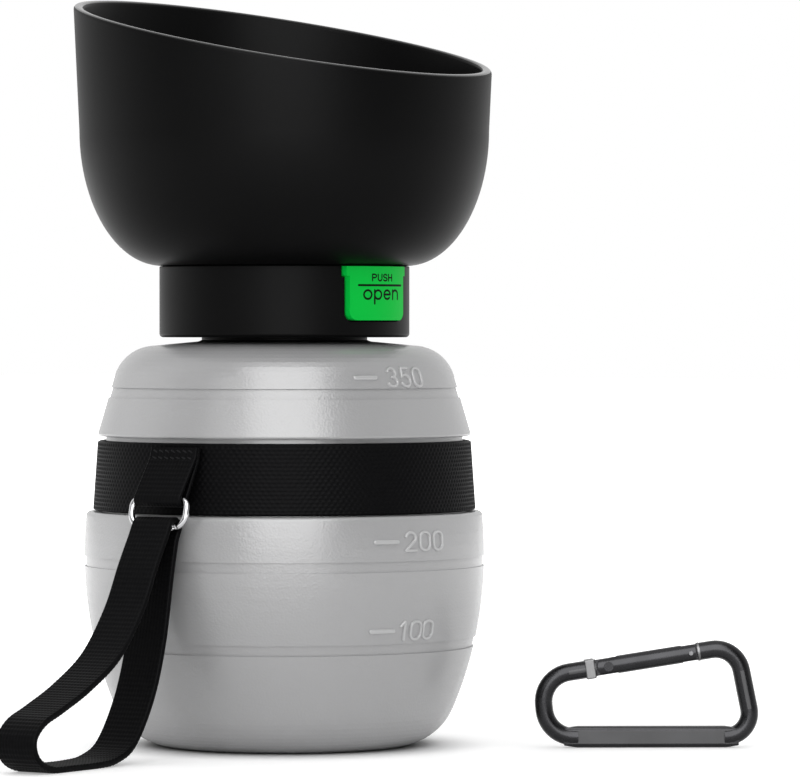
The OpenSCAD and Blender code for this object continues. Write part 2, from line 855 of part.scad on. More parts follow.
module carabiner_body() {
    loop = rounded([for (i = [0:3]) [eye[i].x, eye[i].y, eye_round[i]]]);
    first = corner(eye[2], eye[3], eye[0], eye_round[3]);
    rest = [for (i = [0:2]) each corner(eye[(i + 3) % 4], eye[i], eye[i + 1], eye_round[i])];
    path = concat([gate_point(gate_from - move_gap)], first, rest,
        [gate_point(gate_to + move_gap)]);
    slab = rod_d;
    color(anodised)
        beside_bottle()
            difference() {
                union() {
                    difference() {
                        rod(path, rod_r, 14, false);
                        for (s = [-1, 1])
                            translate([spine_l / 2, 0, s * (spine_t + slab) / 2])
                                cube([spine_l - 2 * spine_end, 2 * rod_d, slab], center = true);
                    }
                    pressed_spine();
                    along_gate(gate_from - past)
                        translate([0, -heel_r, -tongue_t / 2])
                            cube([hinge_at + past, 2 * heel_r, tongue_t]);
                    along_gate(gate_from + hinge_at)
                        cross_pin(heel_r, tongue_t);
                    along_gate(gate_to - nose_reach)
                        translate([0, -heel_r, -tongue_t / 2])
                            cube([nose_reach + past, 2 * heel_r, tongue_t]);
                }
                along_gate(gate_from + hinge_at)
                    cross_pin(rivet_r + fit_gap, rod_d);
                along_gate(gate_to - pin_back) {
                    cross_pin(pin_r + move_gap, rod_d);
                    translate([-pin_r - move_gap, -rod_d, -rod_r])
                        cube([2 * (pin_r + move_gap), rod_d, rod_d]);
                }
            }
}

module carabiner_gate() {
    slot_t = tongue_t + 2 * move_gap;
    color(anodised)
        beside_bottle()
            along_gate(gate_from)
                difference() {
                    intersection() {
                        rotate([0, 90, 0])
                            cylinder(r = rod_r, h = gate_l);
                        union() {
                            translate([hinge_at, 0, 0])
                                cross_pin(hinge_at, 2 * rod_d);
                            translate([hinge_at, -rod_d, -rod_d])
                                cube([gate_l, 2 * rod_d, 2 * rod_d]);
                        }
                    }
                    translate([-past, -rod_d, -slot_t / 2])
                        cube([hinge_at + heel_r + move_gap + past, 2 * rod_d, slot_t]);
                    translate([gate_l - nose_reach - move_gap, -rod_d, -slot_t / 2])
                        cube([nose_reach + move_gap + past, 2 * rod_d, slot_t]);
                    translate([hinge_at, 0, 0])
                        cross_pin(rivet_r + shaft_gap, 2 * rod_d);
                    translate([gate_l - pin_back, 0, 0])
                        cross_pin(pin_r + fit_gap, 2 * rod_d);
                    translate([hinge_at + heel_r, 0, 0])
                        rotate([0, 90, 0])
                            cylinder(r = gate_bore_r,
                                h = move_gap + plunger_l + gate_spring_l + past);
                }
}

module gate_rivet() {
    head_t = 0.3;
    head_gap = 0.05;
    color(steel)
        beside_bottle()
            along_gate(gate_from + hinge_at) {
                cross_pin(rivet_r, rod_d + 2 * head_gap);
                for (s = [-1, 1])
                    translate([0, 0, s * (rod_r + head_gap + head_t / 2)])
                        cross_pin(rivet_r + 0.4, head_t);
            }
}

module latch_pin() {
    color(steel)
        beside_bottle()
            along_gate(gate_to - pin_back)
                cross_pin(pin_r, rod_d - 0.4);
}

module gate_plunger() {
    color(steel)
        beside_bottle()
            along_gate(gate_from + hinge_at + heel_r + move_gap)
                rotate([0, 90, 0])
                    cylinder(r = plunger_rod_r, h = plunger_l);
}

module gate_spring() {
    color(steel)
        beside_bottle()
            along_gate(gate_from + hinge_at + heel_r + move_gap + plunger_l + fit_gap)
                rotate([0, 90, 0])
                    coil(plunger_rod_r - 0.1, 0.15, gate_spring_l, 5);
}

bottle_body();
neck_ring();
waist_band();
dring_tab();
d_ring();
wrist_strap();
cap_gasket();
cap_body();
cap_cover();
gland_washer();
plunger_seal();
bowl_seal();
valve_stem();
valve_head();
head_seal();
spring_retainer();
valve_spring();
push_button();
button_spring();
bowl();
carabiner_body();
carabiner_gate();
gate_rivet();
latch_pin();
gate_spring();
gate_plunger();
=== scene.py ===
# %% [markdown]
# # A travel water bottle for a dog
# The bottle is a soft silicone flask with a hard cap, and a drinking bowl that sits on
# the cap. Pressing the green button opens a valve, and a squeeze sends water up into the
# bowl. The solid model gives every piece its place, so this lesson adds the finish: the
# moulded skins, the woven webbing, the bright ring, the raised marks and the light.

# %% Load the frame
import math

import bmesh
import bpy
from mathutils import Euler, Matrix, Vector
from mathutils.bvhtree import BVHTree


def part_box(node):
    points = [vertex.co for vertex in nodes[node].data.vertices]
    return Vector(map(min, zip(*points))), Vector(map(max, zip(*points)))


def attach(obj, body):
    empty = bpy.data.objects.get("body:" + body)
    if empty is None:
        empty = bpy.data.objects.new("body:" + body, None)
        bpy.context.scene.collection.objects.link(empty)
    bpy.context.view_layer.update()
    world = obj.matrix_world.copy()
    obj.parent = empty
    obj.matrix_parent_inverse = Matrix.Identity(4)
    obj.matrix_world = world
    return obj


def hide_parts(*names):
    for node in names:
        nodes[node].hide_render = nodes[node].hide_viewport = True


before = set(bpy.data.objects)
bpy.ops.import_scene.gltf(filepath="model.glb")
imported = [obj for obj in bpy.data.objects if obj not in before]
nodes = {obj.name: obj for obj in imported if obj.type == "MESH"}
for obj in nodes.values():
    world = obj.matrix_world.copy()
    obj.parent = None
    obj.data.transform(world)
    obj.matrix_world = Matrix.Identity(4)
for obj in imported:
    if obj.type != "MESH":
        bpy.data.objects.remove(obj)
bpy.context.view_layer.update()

# %% [markdown]
# The sizes below are the ones that the solid model was drawn with, in millimetres.
# Blender works in metres, so every length is multiplied by MM once, where a mesh is made.
# Reading what can be read from the frame keeps the two models in step.

# %% Sizes shared by several pieces
MM = 0.001


def top_mm(node):
    """The height of a CAD node's highest point, in millimetres."""
    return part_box(node)[1].z / MM


def low_mm(node):
    """The height of a CAD node's lowest point, in millimetres."""
    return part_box(node)[0].z / MM


def on_circle(radius, degrees, height):
    """A point on a circle round the bottle's axis, in metres."""
    turn = math.radians(degrees)
    return Vector((radius * math.cos(turn), radius * math.sin(turn), height)) * MM


def outwards(degrees):
    """The way out from the bottle's axis at a turn, one long."""
    return on_circle(1 / MM, degrees, 0)


CAMERA_SIDE = 223.0
TAB_SIDE = 188.0
print("cap top", round(top_mm("cap_body"), 2), "bowl from", round(low_mm("bowl"), 2))

# %% [markdown]
# The photograph was taken with a long lens, level with the bottle's cap, from about a
# metre away. A camera could be framed with lens shift, but turning it by a degree or so
# gives the same picture and leaves the other views unshifted. The two aim angles come
# from where the bottle's axis and the horizon lie in the 800 by 782 frame.

# %% Camera
FRAME_WIDTH_PX = 800
FRAME_HEIGHT_PX = 782
AXIS_X_PX = 284.5
HORIZON_Y_PX = 325.1
PX_PER_MM = 4.66
CAMERA_DISTANCE = 1136.0
CAMERA_HEIGHT = 90.0
SENSOR_WIDTH = 36.0


def add_object(name, data):
    """Puts a new object into the scene."""
    made = bpy.data.objects.new(name, data)
    bpy.context.scene.collection.objects.link(made)
    return made


focal_px = PX_PER_MM * CAMERA_DISTANCE
camera_data = bpy.data.cameras.new("camera")
camera_data.sensor_width = SENSOR_WIDTH
camera_data.lens = focal_px * SENSOR_WIDTH / FRAME_WIDTH_PX
camera = add_object("camera", camera_data)
camera.location = on_circle(CAMERA_DISTANCE, CAMERA_SIDE, CAMERA_HEIGHT)
aim_right = math.atan((FRAME_WIDTH_PX / 2 - AXIS_X_PX) / focal_px)
aim_down = math.atan((FRAME_HEIGHT_PX / 2 - HORIZON_Y_PX) / focal_px)
look_turn = math.radians(CAMERA_SIDE + 90)
camera.rotation_euler = Euler((math.pi / 2 - aim_down, 0, look_turn - aim_right))
bpy.context.scene.camera = camera
print("lens", round(camera_data.lens, 1), "mm, aim", round(math.degrees(aim_right), 2), "right")

# %% [markdown]
# Every finish here is made of a few effects that repeat: a fine grain, a slow unevenness
# from handling, the yarns of a woven tape and the drawn lines of metal. Each could be
# wired again in every material. A node group is wired once instead, with named inputs, and
# each material sets its own values. First come the helpers that add and wire nodes.

# %% Helpers that add and wire shader nodes
def add_node(tree, kind, inputs=None, **settings):
    """Adds a node, sets its options, and fills or links its inputs by name or number."""
    made = tree.nodes.new(kind)
    made.location = (190 * len(tree.nodes), -60 * (len(tree.nodes) % 4))
    for key, value in settings.items():
        setattr(made, key, value)
    for key, value in (inputs or {}).items():
        if isinstance(value, bpy.types.NodeSocket):
            tree.links.new(value, made.inputs[key])
        else:
            made.inputs[key].default_value = value
    return made


def calculate(tree, operation, first, second=0.5, third=0.5):
    """One Math node; returns its output."""
    return add_node(tree, "ShaderNodeMath", {0: first, 1: second, 2: third},
                    operation=operation).outputs[0]


def start_group(name, inputs, outputs):
    """An empty node group with named sockets; returns its tree, its input and its output node."""
    tree = bpy.data.node_groups.new(name, "ShaderNodeTree")
    for label, kind, value in inputs:
        socket = tree.interface.new_socket(label, in_out="INPUT", socket_type=kind)
        socket.default_value = value
    for label, kind in outputs:
        tree.interface.new_socket(label, in_out="OUTPUT", socket_type=kind)
    return tree, tree.nodes.new("NodeGroupInput").outputs, tree.nodes.new("NodeGroupOutput").inputs


def end_group(tree, outputs, results):
    """Links a group's results to its outputs by name."""
    for label, socket in results.items():
        tree.links.new(socket, outputs[label])
    print("group:", tree.name, "gives", ", ".join(results))


def noise(tree, where, scale, detail, rough=0.5):
    """One Noise Texture node; returns its value."""
    return add_node(tree, "ShaderNodeTexNoise", {
        "Vector": where, "Scale": scale, "Detail": detail, "Roughness": rough}).outputs["Fac"]


def swing_round(tree, value, swing, middle):
    """Lets a noise swing round a middle value; returns the socket."""
    centred = calculate(tree, "SUBTRACT", value, 0.5)
    return calculate(tree, "MULTIPLY_ADD", centred, swing, middle)


NUMBER = "NodeSocketFloat"
VECTOR = "NodeSocketVector"

# %% [markdown]
# Silicone and moulded plastic come out of a mould whose steel was etched, so their skin is
# covered in soft pebbles well under a millimetre across. They only show where a highlight
# ends. Small spheres could be modelled, but there would be millions, so a smooth noise in
# the piece's own space stands for them. Its size is given as the width of one pebble.

# %% Group: moulded grain
grain, grain_in, grain_out = start_group(
    "moulded grain",
    [("Vector", VECTOR, (0, 0, 0)), ("Pebbles per metre", NUMBER, 2400.0), ("Variety", NUMBER, 0.35)],
    [("Height", NUMBER)])
pebbles = add_node(grain, "ShaderNodeTexVoronoi", {
    "Vector": grain_in["Vector"], "Scale": grain_in["Pebbles per metre"], "Smoothness": 0.6},
    feature="SMOOTH_F1")
cloud = noise(grain, grain_in["Vector"], grain_in["Pebbles per metre"], 1.5)
dome = calculate(grain, "SUBTRACT", 1.0, pebbles.outputs["Distance"])
varied = calculate(grain, "MULTIPLY", cloud, grain_in["Variety"])
end_group(grain, grain_out, {"Height": calculate(grain, "ADD", dome, varied)})

# %% [markdown]
# Nothing that has been handled is evenly matt. A slow, soft noise stands for the places that
# fingers and cloths have rubbed. It has little fine detail, because rubbing leaves no edges.
# The output is a roughness that swings round the value a material asks for, and a tone to
# tint with.

# %% Group: handling
handling, handling_in, handling_out = start_group(
    "handling",
    [("Vector", VECTOR, (0, 0, 0)), ("Patches per metre", NUMBER, 60.0),
     ("Roughness", NUMBER, 0.5), ("Swing", NUMBER, 0.1)],
    [("Roughness", NUMBER), ("Tone", NUMBER)])
patches = noise(handling, handling_in["Vector"], handling_in["Patches per metre"], 1.2, 0.4)
end_group(handling, handling_out, {
    "Roughness": swing_round(handling, patches, handling_in["Swing"], handling_in["Roughness"]),
    "Tone": patches})

# %% [markdown]
# The webbing's bumps are modelled, because they show in its outline, but a yarn is itself a
# bundle of some thirty filaments. These run along the tape, so a noise that is stretched
# along the piece's own UV map draws them. The map is in metres, which keeps one filament as
# thick on the narrow strap as on the wide band.

# %% Group: filaments
FUZZ_PER_METRE = 700.0
filaments, filament_in, filament_out = start_group(
    "filaments",
    [("UV", VECTOR, (0, 0, 0)), ("Filaments per metre", NUMBER, 9000.0), ("Stretch", NUMBER, 0.12)],
    [("Height", NUMBER), ("Tone", NUMBER)])
long_way = add_node(filaments, "ShaderNodeCombineXYZ", {
    0: filament_in["Stretch"], 1: 1.0, 2: 1.0})
stretched = add_node(filaments, "ShaderNodeVectorMath", {
    0: filament_in["UV"], 1: long_way.outputs[0]}, operation="MULTIPLY")
end_group(filaments, filament_out, {
    "Height": noise(filaments, stretched.outputs[0], filament_in["Filaments per metre"], 2.0),
    "Tone": noise(filaments, filament_in["UV"], FUZZ_PER_METRE, 3.0)})

# %% [markdown]
# Wire and rod are pulled through a die, and this leaves faint lines along them. On a small
# part the lines matter less than the uneven gloss that they give, so one fine noise drives
# the roughness and, very faintly, the height.

# %% Group: drawn lines
drawn, drawn_in, drawn_out = start_group(
    "drawn lines",
    [("Vector", VECTOR, (0, 0, 0)), ("Lines per metre", NUMBER, 5000.0),
     ("Roughness", NUMBER, 0.2), ("Swing", NUMBER, 0.1)],
    [("Roughness", NUMBER), ("Height", NUMBER)])
lines = noise(drawn, drawn_in["Vector"], drawn_in["Lines per metre"], 3.0)
end_group(drawn, drawn_out, {
    "Roughness": swing_round(drawn, lines, drawn_in["Swing"], drawn_in["Roughness"]),
    "Height": lines})

# %% [markdown]
# A material starts the same way each time: a Principled shader with its constant values set
# on its own sockets, the piece's own coordinates, and a bump that takes its height from one
# of the groups. This helper does that, and each finish below adds what is its own.

# %% Helper that starts a material
def place_group(tree, group, inputs):
    """Puts one of the node groups into a material; returns its outputs."""
    return add_node(tree, "ShaderNodeGroup", inputs, node_tree=group).outputs


def two_tones(tree, mask, dark, light):
    """A colour between two, by a mask; returns the socket."""
    mix = add_node(tree, "ShaderNodeMix", {"Factor": mask}, data_type="RGBA")
    mix.inputs[6].default_value = (*dark, 1)
    mix.inputs[7].default_value = (*light, 1)
    return mix.outputs[2]


def start_material(name, **constants):
    """A new material; returns it, its tree, its shader and its Object coordinates."""
    material = bpy.data.materials.new(name)
    material.use_nodes = True
    tree = material.node_tree
    tree.nodes.clear()
    shader = add_node(tree, "ShaderNodeBsdfPrincipled")
    for key, value in constants.items():
        shader.inputs[key.replace("_", " ")].default_value = value
    add_node(tree, "ShaderNodeOutputMaterial", {"Surface": shader.outputs[0]})
    where = add_node(tree, "ShaderNodeTexCoord")
    return material, tree, shader, where.outputs["Object"]


def raise_bumps(tree, shader, height, depth):
    """Feeds a height into the shader's normal; depth is the relief in metres."""
    bump = add_node(tree, "ShaderNodeBump", {"Height": height, "Distance": depth})
    tree.links.new(bump.outputs[0], shader.inputs["Normal"])


# %% [markdown]
# ## The finishes
# The bottle's silicone is a mid grey with a satin shine. The shine is broken up at its edges
# by the pebbles. Dyed silicone is very even, so its two tones are almost the same. Its
# raised marks are painted paler, a painted highlight for the light that their raised tops
# catch, and their skin is a little smoother.

# %% Finish: grey silicone
def moulded(name, dark, light, rough, swing, pebbles_per_metre, relief, patches_per_metre=60.0,
            **constants):
    """A moulded skin: two close tones, an uneven gloss and a pebbled grain."""
    material, tree, shader, where = start_material(name, **constants)
    skin = place_group(tree, grain, {"Vector": where, "Pebbles per metre": pebbles_per_metre})
    use = place_group(tree, handling, {
        "Vector": where, "Patches per metre": patches_per_metre, "Roughness": rough, "Swing": swing})
    tree.links.new(two_tones(tree, use["Tone"], dark, light), shader.inputs["Base Color"])
    tree.links.new(use["Roughness"], shader.inputs["Roughness"])
    raise_bumps(tree, shader, skin["Height"], relief)
    return material


silicone = moulded("grey silicone", (0.366, 0.366, 0.370), (0.369, 0.369, 0.373),
                   0.27, 0.0, 2000.0, 0.000030, 30.0, Specular_IOR_Level=0.7)
# Painted highlight: the raised marks get a paler silicone, which stands for the light their tops
# catch.
painted_light_silicone = moulded("grey silicone with painted highlight", (0.46, 0.46, 0.464), (0.48, 0.48, 0.484),
                        0.25, 0.08, 2600.0, 0.000008, Specular_IOR_Level=0.8)
print("finishes:", silicone.name, "and", painted_light_silicone.name)

# %% [markdown]
# The cap, bowl and neck are one matt black plastic with a soft touch. Black plastic looks
# black only head-on, and its rounded sides pick up a soft grey edge, which comes from the
# shader by itself. The skin is so matt that it reflects very little head-on, so its specular
# level is low. The grain is much finer than on the silicone. The knob is polished.

# %% Finish: black plastics
black_plastic = moulded("matt black plastic", (0.0018, 0.0018, 0.0019), (0.0028, 0.0028, 0.0029),
                        0.42, 0.07, 7000.0, 0.000004, Specular_IOR_Level=0.048)
black_gloss = moulded("glossy black plastic", (0.005, 0.005, 0.005), (0.008, 0.008, 0.008),
                      0.18, 0.06, 5000.0, 0.000001, Specular_IOR_Level=0.25)
print("finishes:", black_plastic.name, "and", black_gloss.name)

# %% [markdown]
# The button has to be found at a glance, so it is a bright green. It is moulded in the same
# way as the cap, with a slightly softer shine.

# %% Finish: green plastic and ink
green_plastic = moulded("green plastic", (0.0, 0.53, 0.050), (0.001, 0.59, 0.060),
                        0.36, 0.08, 5200.0, 0.000004, Specular_IOR_Level=0.06)
ink = moulded("dark ink", (0.0004, 0.004, 0.0012), (0.0006, 0.008, 0.002),
              0.5, 0.1, 9000.0, 0.000001, Specular_IOR_Level=0.05)
print("finishes:", green_plastic.name, "and", ink.name)

# %% [markdown]
# The seals are soft translucent rubber. A little light enters them and comes out beside
# where it went in, which the subsurface value stands for.

# %% Finish: seal rubber
seal_rubber = moulded("seal rubber", (0.60, 0.60, 0.57), (0.72, 0.72, 0.69),
                      0.42, 0.1, 4000.0, 0.000006, Subsurface_Weight=0.15)
print("finish:", seal_rubber.name)

# %% [markdown]
# The ring and springs are bright steel, and the carabiner is aluminium that was anodised
# black, which keeps some of the metal's sheen. Both are metals, so nearly all that shows is
# what they reflect, made uneven by the drawn lines. The carabiner's pressed and milled
# places are the same metal, but duller and paler.

# %% Finish: metals
METAL_RELIEF = 0.0000015
METAL_PATCHES = 220.0


def metal(name, dark, light, rough, swing, lines_per_metre, **constants):
    """A metal with drawn lines: streaky gloss, faint relief and two close tones."""
    material, tree, shader, where = start_material(name, Metallic=1.0, **constants)
    streaks = place_group(tree, drawn, {
        "Vector": where, "Lines per metre": lines_per_metre, "Roughness": rough, "Swing": swing})
    use = place_group(tree, handling, {"Vector": where, "Patches per metre": METAL_PATCHES})
    tree.links.new(two_tones(tree, use["Tone"], dark, light), shader.inputs["Base Color"])
    tree.links.new(streaks["Roughness"], shader.inputs["Roughness"])
    raise_bumps(tree, shader, streaks["Height"], METAL_RELIEF)
    return material


bright_steel = metal("bright steel", (0.42, 0.42, 0.43), (0.52, 0.52, 0.53), 0.11, 0.08, 3000.0)
dark_steel = metal("dark steel", (0.10, 0.10, 0.105), (0.16, 0.16, 0.165), 0.34, 0.16, 3500.0)
anodised = metal("black anodised aluminium", (0.024, 0.024, 0.025), (0.034, 0.034, 0.036),
                 0.27, 0.12, 4200.0)
pressed = metal("pressed anodised aluminium", (0.052, 0.052, 0.053), (0.064, 0.064, 0.066),
                0.46, 0.2, 6500.0)
milled = metal("milled aluminium", (0.13, 0.13, 0.132), (0.17, 0.17, 0.172), 0.42, 0.2, 6500.0)
print("finishes:", bright_steel.name, dark_steel.name, anodised.name, pressed.name, milled.name)

# %% [markdown]
# Webbing is polypropylene or nylon yarn. It is black, but each filament is a tiny glossy
# rod, so the crowns of the weave catch grey points of light. The filaments come from the
# group, and the crowns from the modelled relief.

# %% Finish: black webbing
YARN_RELIEF = 0.00003
TAPE_PATCHES = 90.0
TAPE_SWING = 0.12


def webbing(name, dark, light, rough):
    """A woven yarn finish that follows the piece's own UV map, which is in metres."""
    material, tree, shader, where = start_material(
        name, Specular_IOR_Level=0.03, Sheen_Weight=0.01, Sheen_Roughness=0.5)
    tape_map = add_node(tree, "ShaderNodeUVMap", uv_map="tape")
    yarn = place_group(tree, filaments, {"UV": tape_map.outputs[0]})
    tree.links.new(two_tones(tree, yarn["Tone"], dark, light), shader.inputs["Base Color"])
    use = place_group(tree, handling, {
        "Vector": where, "Patches per metre": TAPE_PATCHES, "Roughness": rough,
        "Swing": TAPE_SWING})
    tree.links.new(use["Roughness"], shader.inputs["Roughness"])
    raise_bumps(tree, shader, yarn["Height"], YARN_RELIEF)
    return material


black_webbing = webbing("black webbing", (0.0018, 0.0018, 0.0021), (0.0042, 0.0042, 0.0047), 0.42)
black_thread = moulded("black thread", (0.005, 0.005, 0.006), (0.009, 0.009, 0.010),
                       0.45, 0.1, 6000.0, 0.00002, Specular_IOR_Level=0.12)
print("finishes:", black_webbing.name, "and", black_thread.name)

# %% [markdown]
# ## The pieces that keep their solid shape
# Most hard pieces are right as the solid model has them, so they only need their finish. A
# table of finish to nodes says which piece is made of what. The solids that are modelled
# again further on are painted too, so that none is ever left plain.

# %% Give the solid pieces their finishes
FINISHED = {
    silicone: ["bottle_body"],
    black_plastic: ["neck_ring", "cap_body", "cap_cover", "valve_stem", "bowl"],
    black_gloss: ["valve_head"],
    green_plastic: ["push_button"],
    seal_rubber: ["cap_gasket", "plunger_seal", "bowl_seal", "head_seal"],
    bright_steel: ["gland_washer", "spring_retainer", "valve_spring", "button_spring",
                   "gate_spring", "gate_plunger", "d_ring"],
    dark_steel: ["latch_pin"],
    anodised: ["carabiner_gate", "carabiner_body", "gate_rivet"],
    black_webbing: ["waist_band", "dring_tab", "wrist_strap"],
}


def paint(piece, material):
    """Puts a material into every slot of a piece, or gives it its first slot."""
    for place in piece.material_slots:
        place.material = material
    if not piece.material_slots:
        piece.data.materials.append(material)


for material, names in FINISHED.items():
    for name in names:
        paint(nodes[name], material)
print("painted", sum(len(names) for names in FINISHED.values()), "solid pieces")

# %% [markdown]
# A new piece is made in a bmesh, which is Blender's editable mesh. When it is done it
# becomes an object at the origin and rides on a body by name.

# %% Helpers that weld a bmesh and turn it into a piece
def mesh_object(bm, name):
    """Turns a finished bmesh into an object at the origin."""
    mesh = bpy.data.meshes.new(name)
    bm.to_mesh(mesh)
    bm.free()
    return add_object(name, mesh)


def weld(bm, reach=1e-6):
    """Merges the points that meet within a reach in metres, and turns the faces outwards."""
    bmesh.ops.remove_doubles(bm, verts=bm.verts, dist=reach)
    bmesh.ops.recalc_face_normals(bm, faces=bm.faces)
    return bm


def finish_piece(bm, name, material, body, smooth=True):
    """Makes the object, shades it, paints it and lets it ride on its body."""
    piece = mesh_object(bm, name)
    for polygon in piece.data.polygons:
        polygon.use_smooth = smooth
    paint(piece, material)
    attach(piece, body)
    print(name, "faces:", len(piece.data.polygons))
    return piece


# %% [markdown]
# ## The drinking bowl
# The bowl is a deep cup whose rim is cut at a slant, so that its low side meets the dog. It
# could be lofted from ellipses, but the cup is round at every level below its rim. So a
# wall profile is spun round the axis, a slanted plane trims it, and the two cut edges are
# bridged and rounded, as the mould rounds them. Lips polish the rim, so it is glossier than
# the rest and shows as a thin line of light.

# %% Bowl profile and rim
BOWL_LOW = low_mm("bowl")
BOWL_FOOT_R = 26.3
BOWL_R = 43.9
BOWL_CURVE_H = 29.0
BOWL_LEAN = 1.4 / 30
BOWL_WALL = 2.2
BOWL_FLOOR = 2.4
BOWL_HOLE_R = 7.2
BOWL_BOSS_R = 9.5
BOWL_BOSS_H = 2.5
BOSS_CHAMFER = 0.5
RIM_MIDDLE_Z = 151.7
RIM_TILT = math.radians(12)
PROFILE_TOP_Z = 170.0
CURVE_STEPS = 26


def cup_line(inset):
    """The bowl's side from foot to above the rim, as radius and height, moved inwards."""
    points = []
    for i in range(CURVE_STEPS + 1):
        turn = math.radians(90 * i / CURVE_STEPS)
        radius = BOWL_FOOT_R + (BOWL_R - BOWL_FOOT_R) * math.sin(turn) - inset * math.sin(turn)
        height = BOWL_LOW + BOWL_CURVE_H * (1 - math.cos(turn)) + inset * math.cos(turn)
        points.append((radius, height))
    top_r = BOWL_R + BOWL_LEAN * (PROFILE_TOP_Z - BOWL_LOW - BOWL_CURVE_H) - inset
    return points + [(top_r, PROFILE_TOP_Z)]


print("cup profile:", len(cup_line(0)), "points a side")

# %% Spin, trim and round the bowl
SPIN_STEPS = 160
RIM_ROUND = 0.85
GLOSSY_RIM = 0.25
RIM_FACING = 0.75


def spin_profile(points):
    """Spins a closed profile of radius and height, in millimetres, once round the axis."""
    bm = bmesh.new()
    ring = [bm.verts.new(Vector((r, 0, z)) * MM) for r, z in points]
    edges = [bm.edges.new(pair) for pair in zip(ring, ring[1:] + ring[:1])]
    bmesh.ops.spin(bm, geom=ring + edges, cent=(0, 0, 0), axis=(0, 0, 1), dvec=(0, 0, 0),
                   angle=math.tau, steps=SPIN_STEPS, use_merge=True, use_duplicate=False)
    return weld(bm)


floor_z = BOWL_LOW + BOWL_FLOOR
boss_z = floor_z + BOWL_BOSS_H
inner = [(r, max(z, floor_z)) for r, z in cup_line(BOWL_WALL)]
boss = [(BOWL_BOSS_R, floor_z), (BOWL_BOSS_R, boss_z - BOSS_CHAMFER),
        (BOWL_BOSS_R - BOSS_CHAMFER, boss_z), (BOWL_HOLE_R, boss_z)]
wall_profile = [(BOWL_HOLE_R, BOWL_LOW)] + cup_line(0) + inner[::-1] + boss
bowl_mesh = spin_profile(wall_profile)
rim_normal = Vector((0, -math.sin(RIM_TILT), math.cos(RIM_TILT)))
bmesh.ops.bisect_plane(bowl_mesh, geom=bowl_mesh.verts[:] + bowl_mesh.edges[:] + bowl_mesh.faces[:],
                       plane_co=(0, 0, RIM_MIDDLE_Z * MM), plane_no=rim_normal, clear_outer=True)
cut_edges = [e for e in bowl_mesh.edges if e.is_boundary]
bmesh.ops.bridge_loops(bowl_mesh, edges=cut_edges)
bmesh.ops.recalc_face_normals(bowl_mesh, faces=bowl_mesh.faces)
rim_edges = [e for e in bowl_mesh.edges if e in set(cut_edges)]
bmesh.ops.bevel(bowl_mesh, geom=rim_edges, offset=RIM_ROUND * MM, offset_type="OFFSET", segments=4,
                profile=0.5, affect="EDGES", material=-1, clamp_overlap=True)
bowl_piece = finish_piece(bowl_mesh, "bowl_shell", black_plastic, "bowl")
bowl_piece.data.materials.append(black_gloss)
rim_middle = Vector((0, 0, RIM_MIDDLE_Z * MM))
for polygon in bowl_piece.data.polygons:
    below = rim_normal.dot(rim_middle - polygon.center)
    if below < GLOSSY_RIM * MM and polygon.normal.dot(rim_normal) > RIM_FACING:
        polygon.material_index = 1
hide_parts("bowl")

# %% [markdown]
# ## Webbing
# The band, the tab and the strap are woven tape. A flat strip with a picture of a weave
# would do from afar, but tape has thick rounded edges, and its yarns cross over and under,
# which shows in its outline. So a grid is laid along the tape and round its section, and
# the crown of each crossing stands a sixth of a millimetre above the hollows. On the wide
# band the crowns are staggered. On the narrow tape they make ribs across it.

# %% Helper that weaves a tape
WEAVE_RELIEF = 0.16
CELL_POINTS = 4
TAPE_SIDE = 0.35
CROWN_FULLNESS = 0.6
RIB_FULLNESS = 0.7
RIB_SHARE = 0.55


def arch(share):
    """A half wave, from 0 up to 1 and back, that repeats with every whole number."""
    return math.sin(math.pi * (share % 1.0))


def staggered(along, across):
    """How far a point of the wide weave stands up, from 0 to 1; every other row is staggered."""
    return (arch(along + 0.5 * (math.floor(across) % 2)) * arch(across)) ** CROWN_FULLNESS


def ribbed(along, across):
    """The same for the narrow weave, whose crowns make ribs across the tape."""
    return arch(along) ** RIB_FULLNESS * (RIB_SHARE + (1 - RIB_SHARE) * arch(across))


def tape_section(width, thick, cells_across, both_faces):
    """Round the tape's section: list of (across, out, weave row or None), in millimetres."""
    edge = thick / 2
    flat = width / 2 - TAPE_SIDE
    count = cells_across * CELL_POINTS
    face = [(flat * (2 * i / count - 1), i / CELL_POINTS) for i in range(count + 1)]
    plain = [(-flat, None), (0, None), (flat, None)]
    turns = [math.radians(t) for t in (45, 90, 135)]
    points = [(x, edge, row) for x, row in face]
    points += [(flat + TAPE_SIDE * math.sin(a), edge * math.cos(a), None) for a in turns]
    points += [(-x, -edge, row) for x, row in (face if both_faces else plain)]
    points += [(-flat - TAPE_SIDE * math.sin(a), -edge * math.cos(a), None) for a in turns]
    return points


def weave_tape(name, place, length, cells_along, width, thick, cells_across, body, closed, crown):
    """Weaves a tape. place(share, across, out) gives a point in metres for a share of the length."""
    section = tape_section(width, thick, cells_across, both_faces=crown is ribbed)
    rows = cells_along * CELL_POINTS
    columns = len(section)
    bm = bmesh.new()
    tape_uv = bm.loops.layers.uv.new("tape")
    bmesh.ops.create_grid(bm, x_segments=rows, y_segments=columns, size=0.5)
    girth = 2 * width + 2 * thick
    for face in bm.faces:
        for loop in face.loops:
            share, round_share = loop.vert.co.x + 0.5, loop.vert.co.y + 0.5
            loop[tape_uv].uv = (share * length * MM, round_share * girth * MM)
    for vert in bm.verts:
        share, around = vert.co.x + 0.5, vert.co.y + 0.5
        across, out, row = section[round(around * columns) % columns]
        if row is not None:
            lift = WEAVE_RELIEF * crown(share * cells_along, row)
            out += math.copysign(lift - WEAVE_RELIEF, out)
        vert.co = place(share, across, out)
    bmesh.ops.remove_doubles(bm, verts=bm.verts, dist=1e-6)
    if not closed:
        bmesh.ops.holes_fill(bm, edges=[e for e in bm.edges if e.is_boundary], sides=0)
    bmesh.ops.recalc_face_normals(bm, faces=bm.faces)
    return finish_piece(bm, name, black_webbing, body)


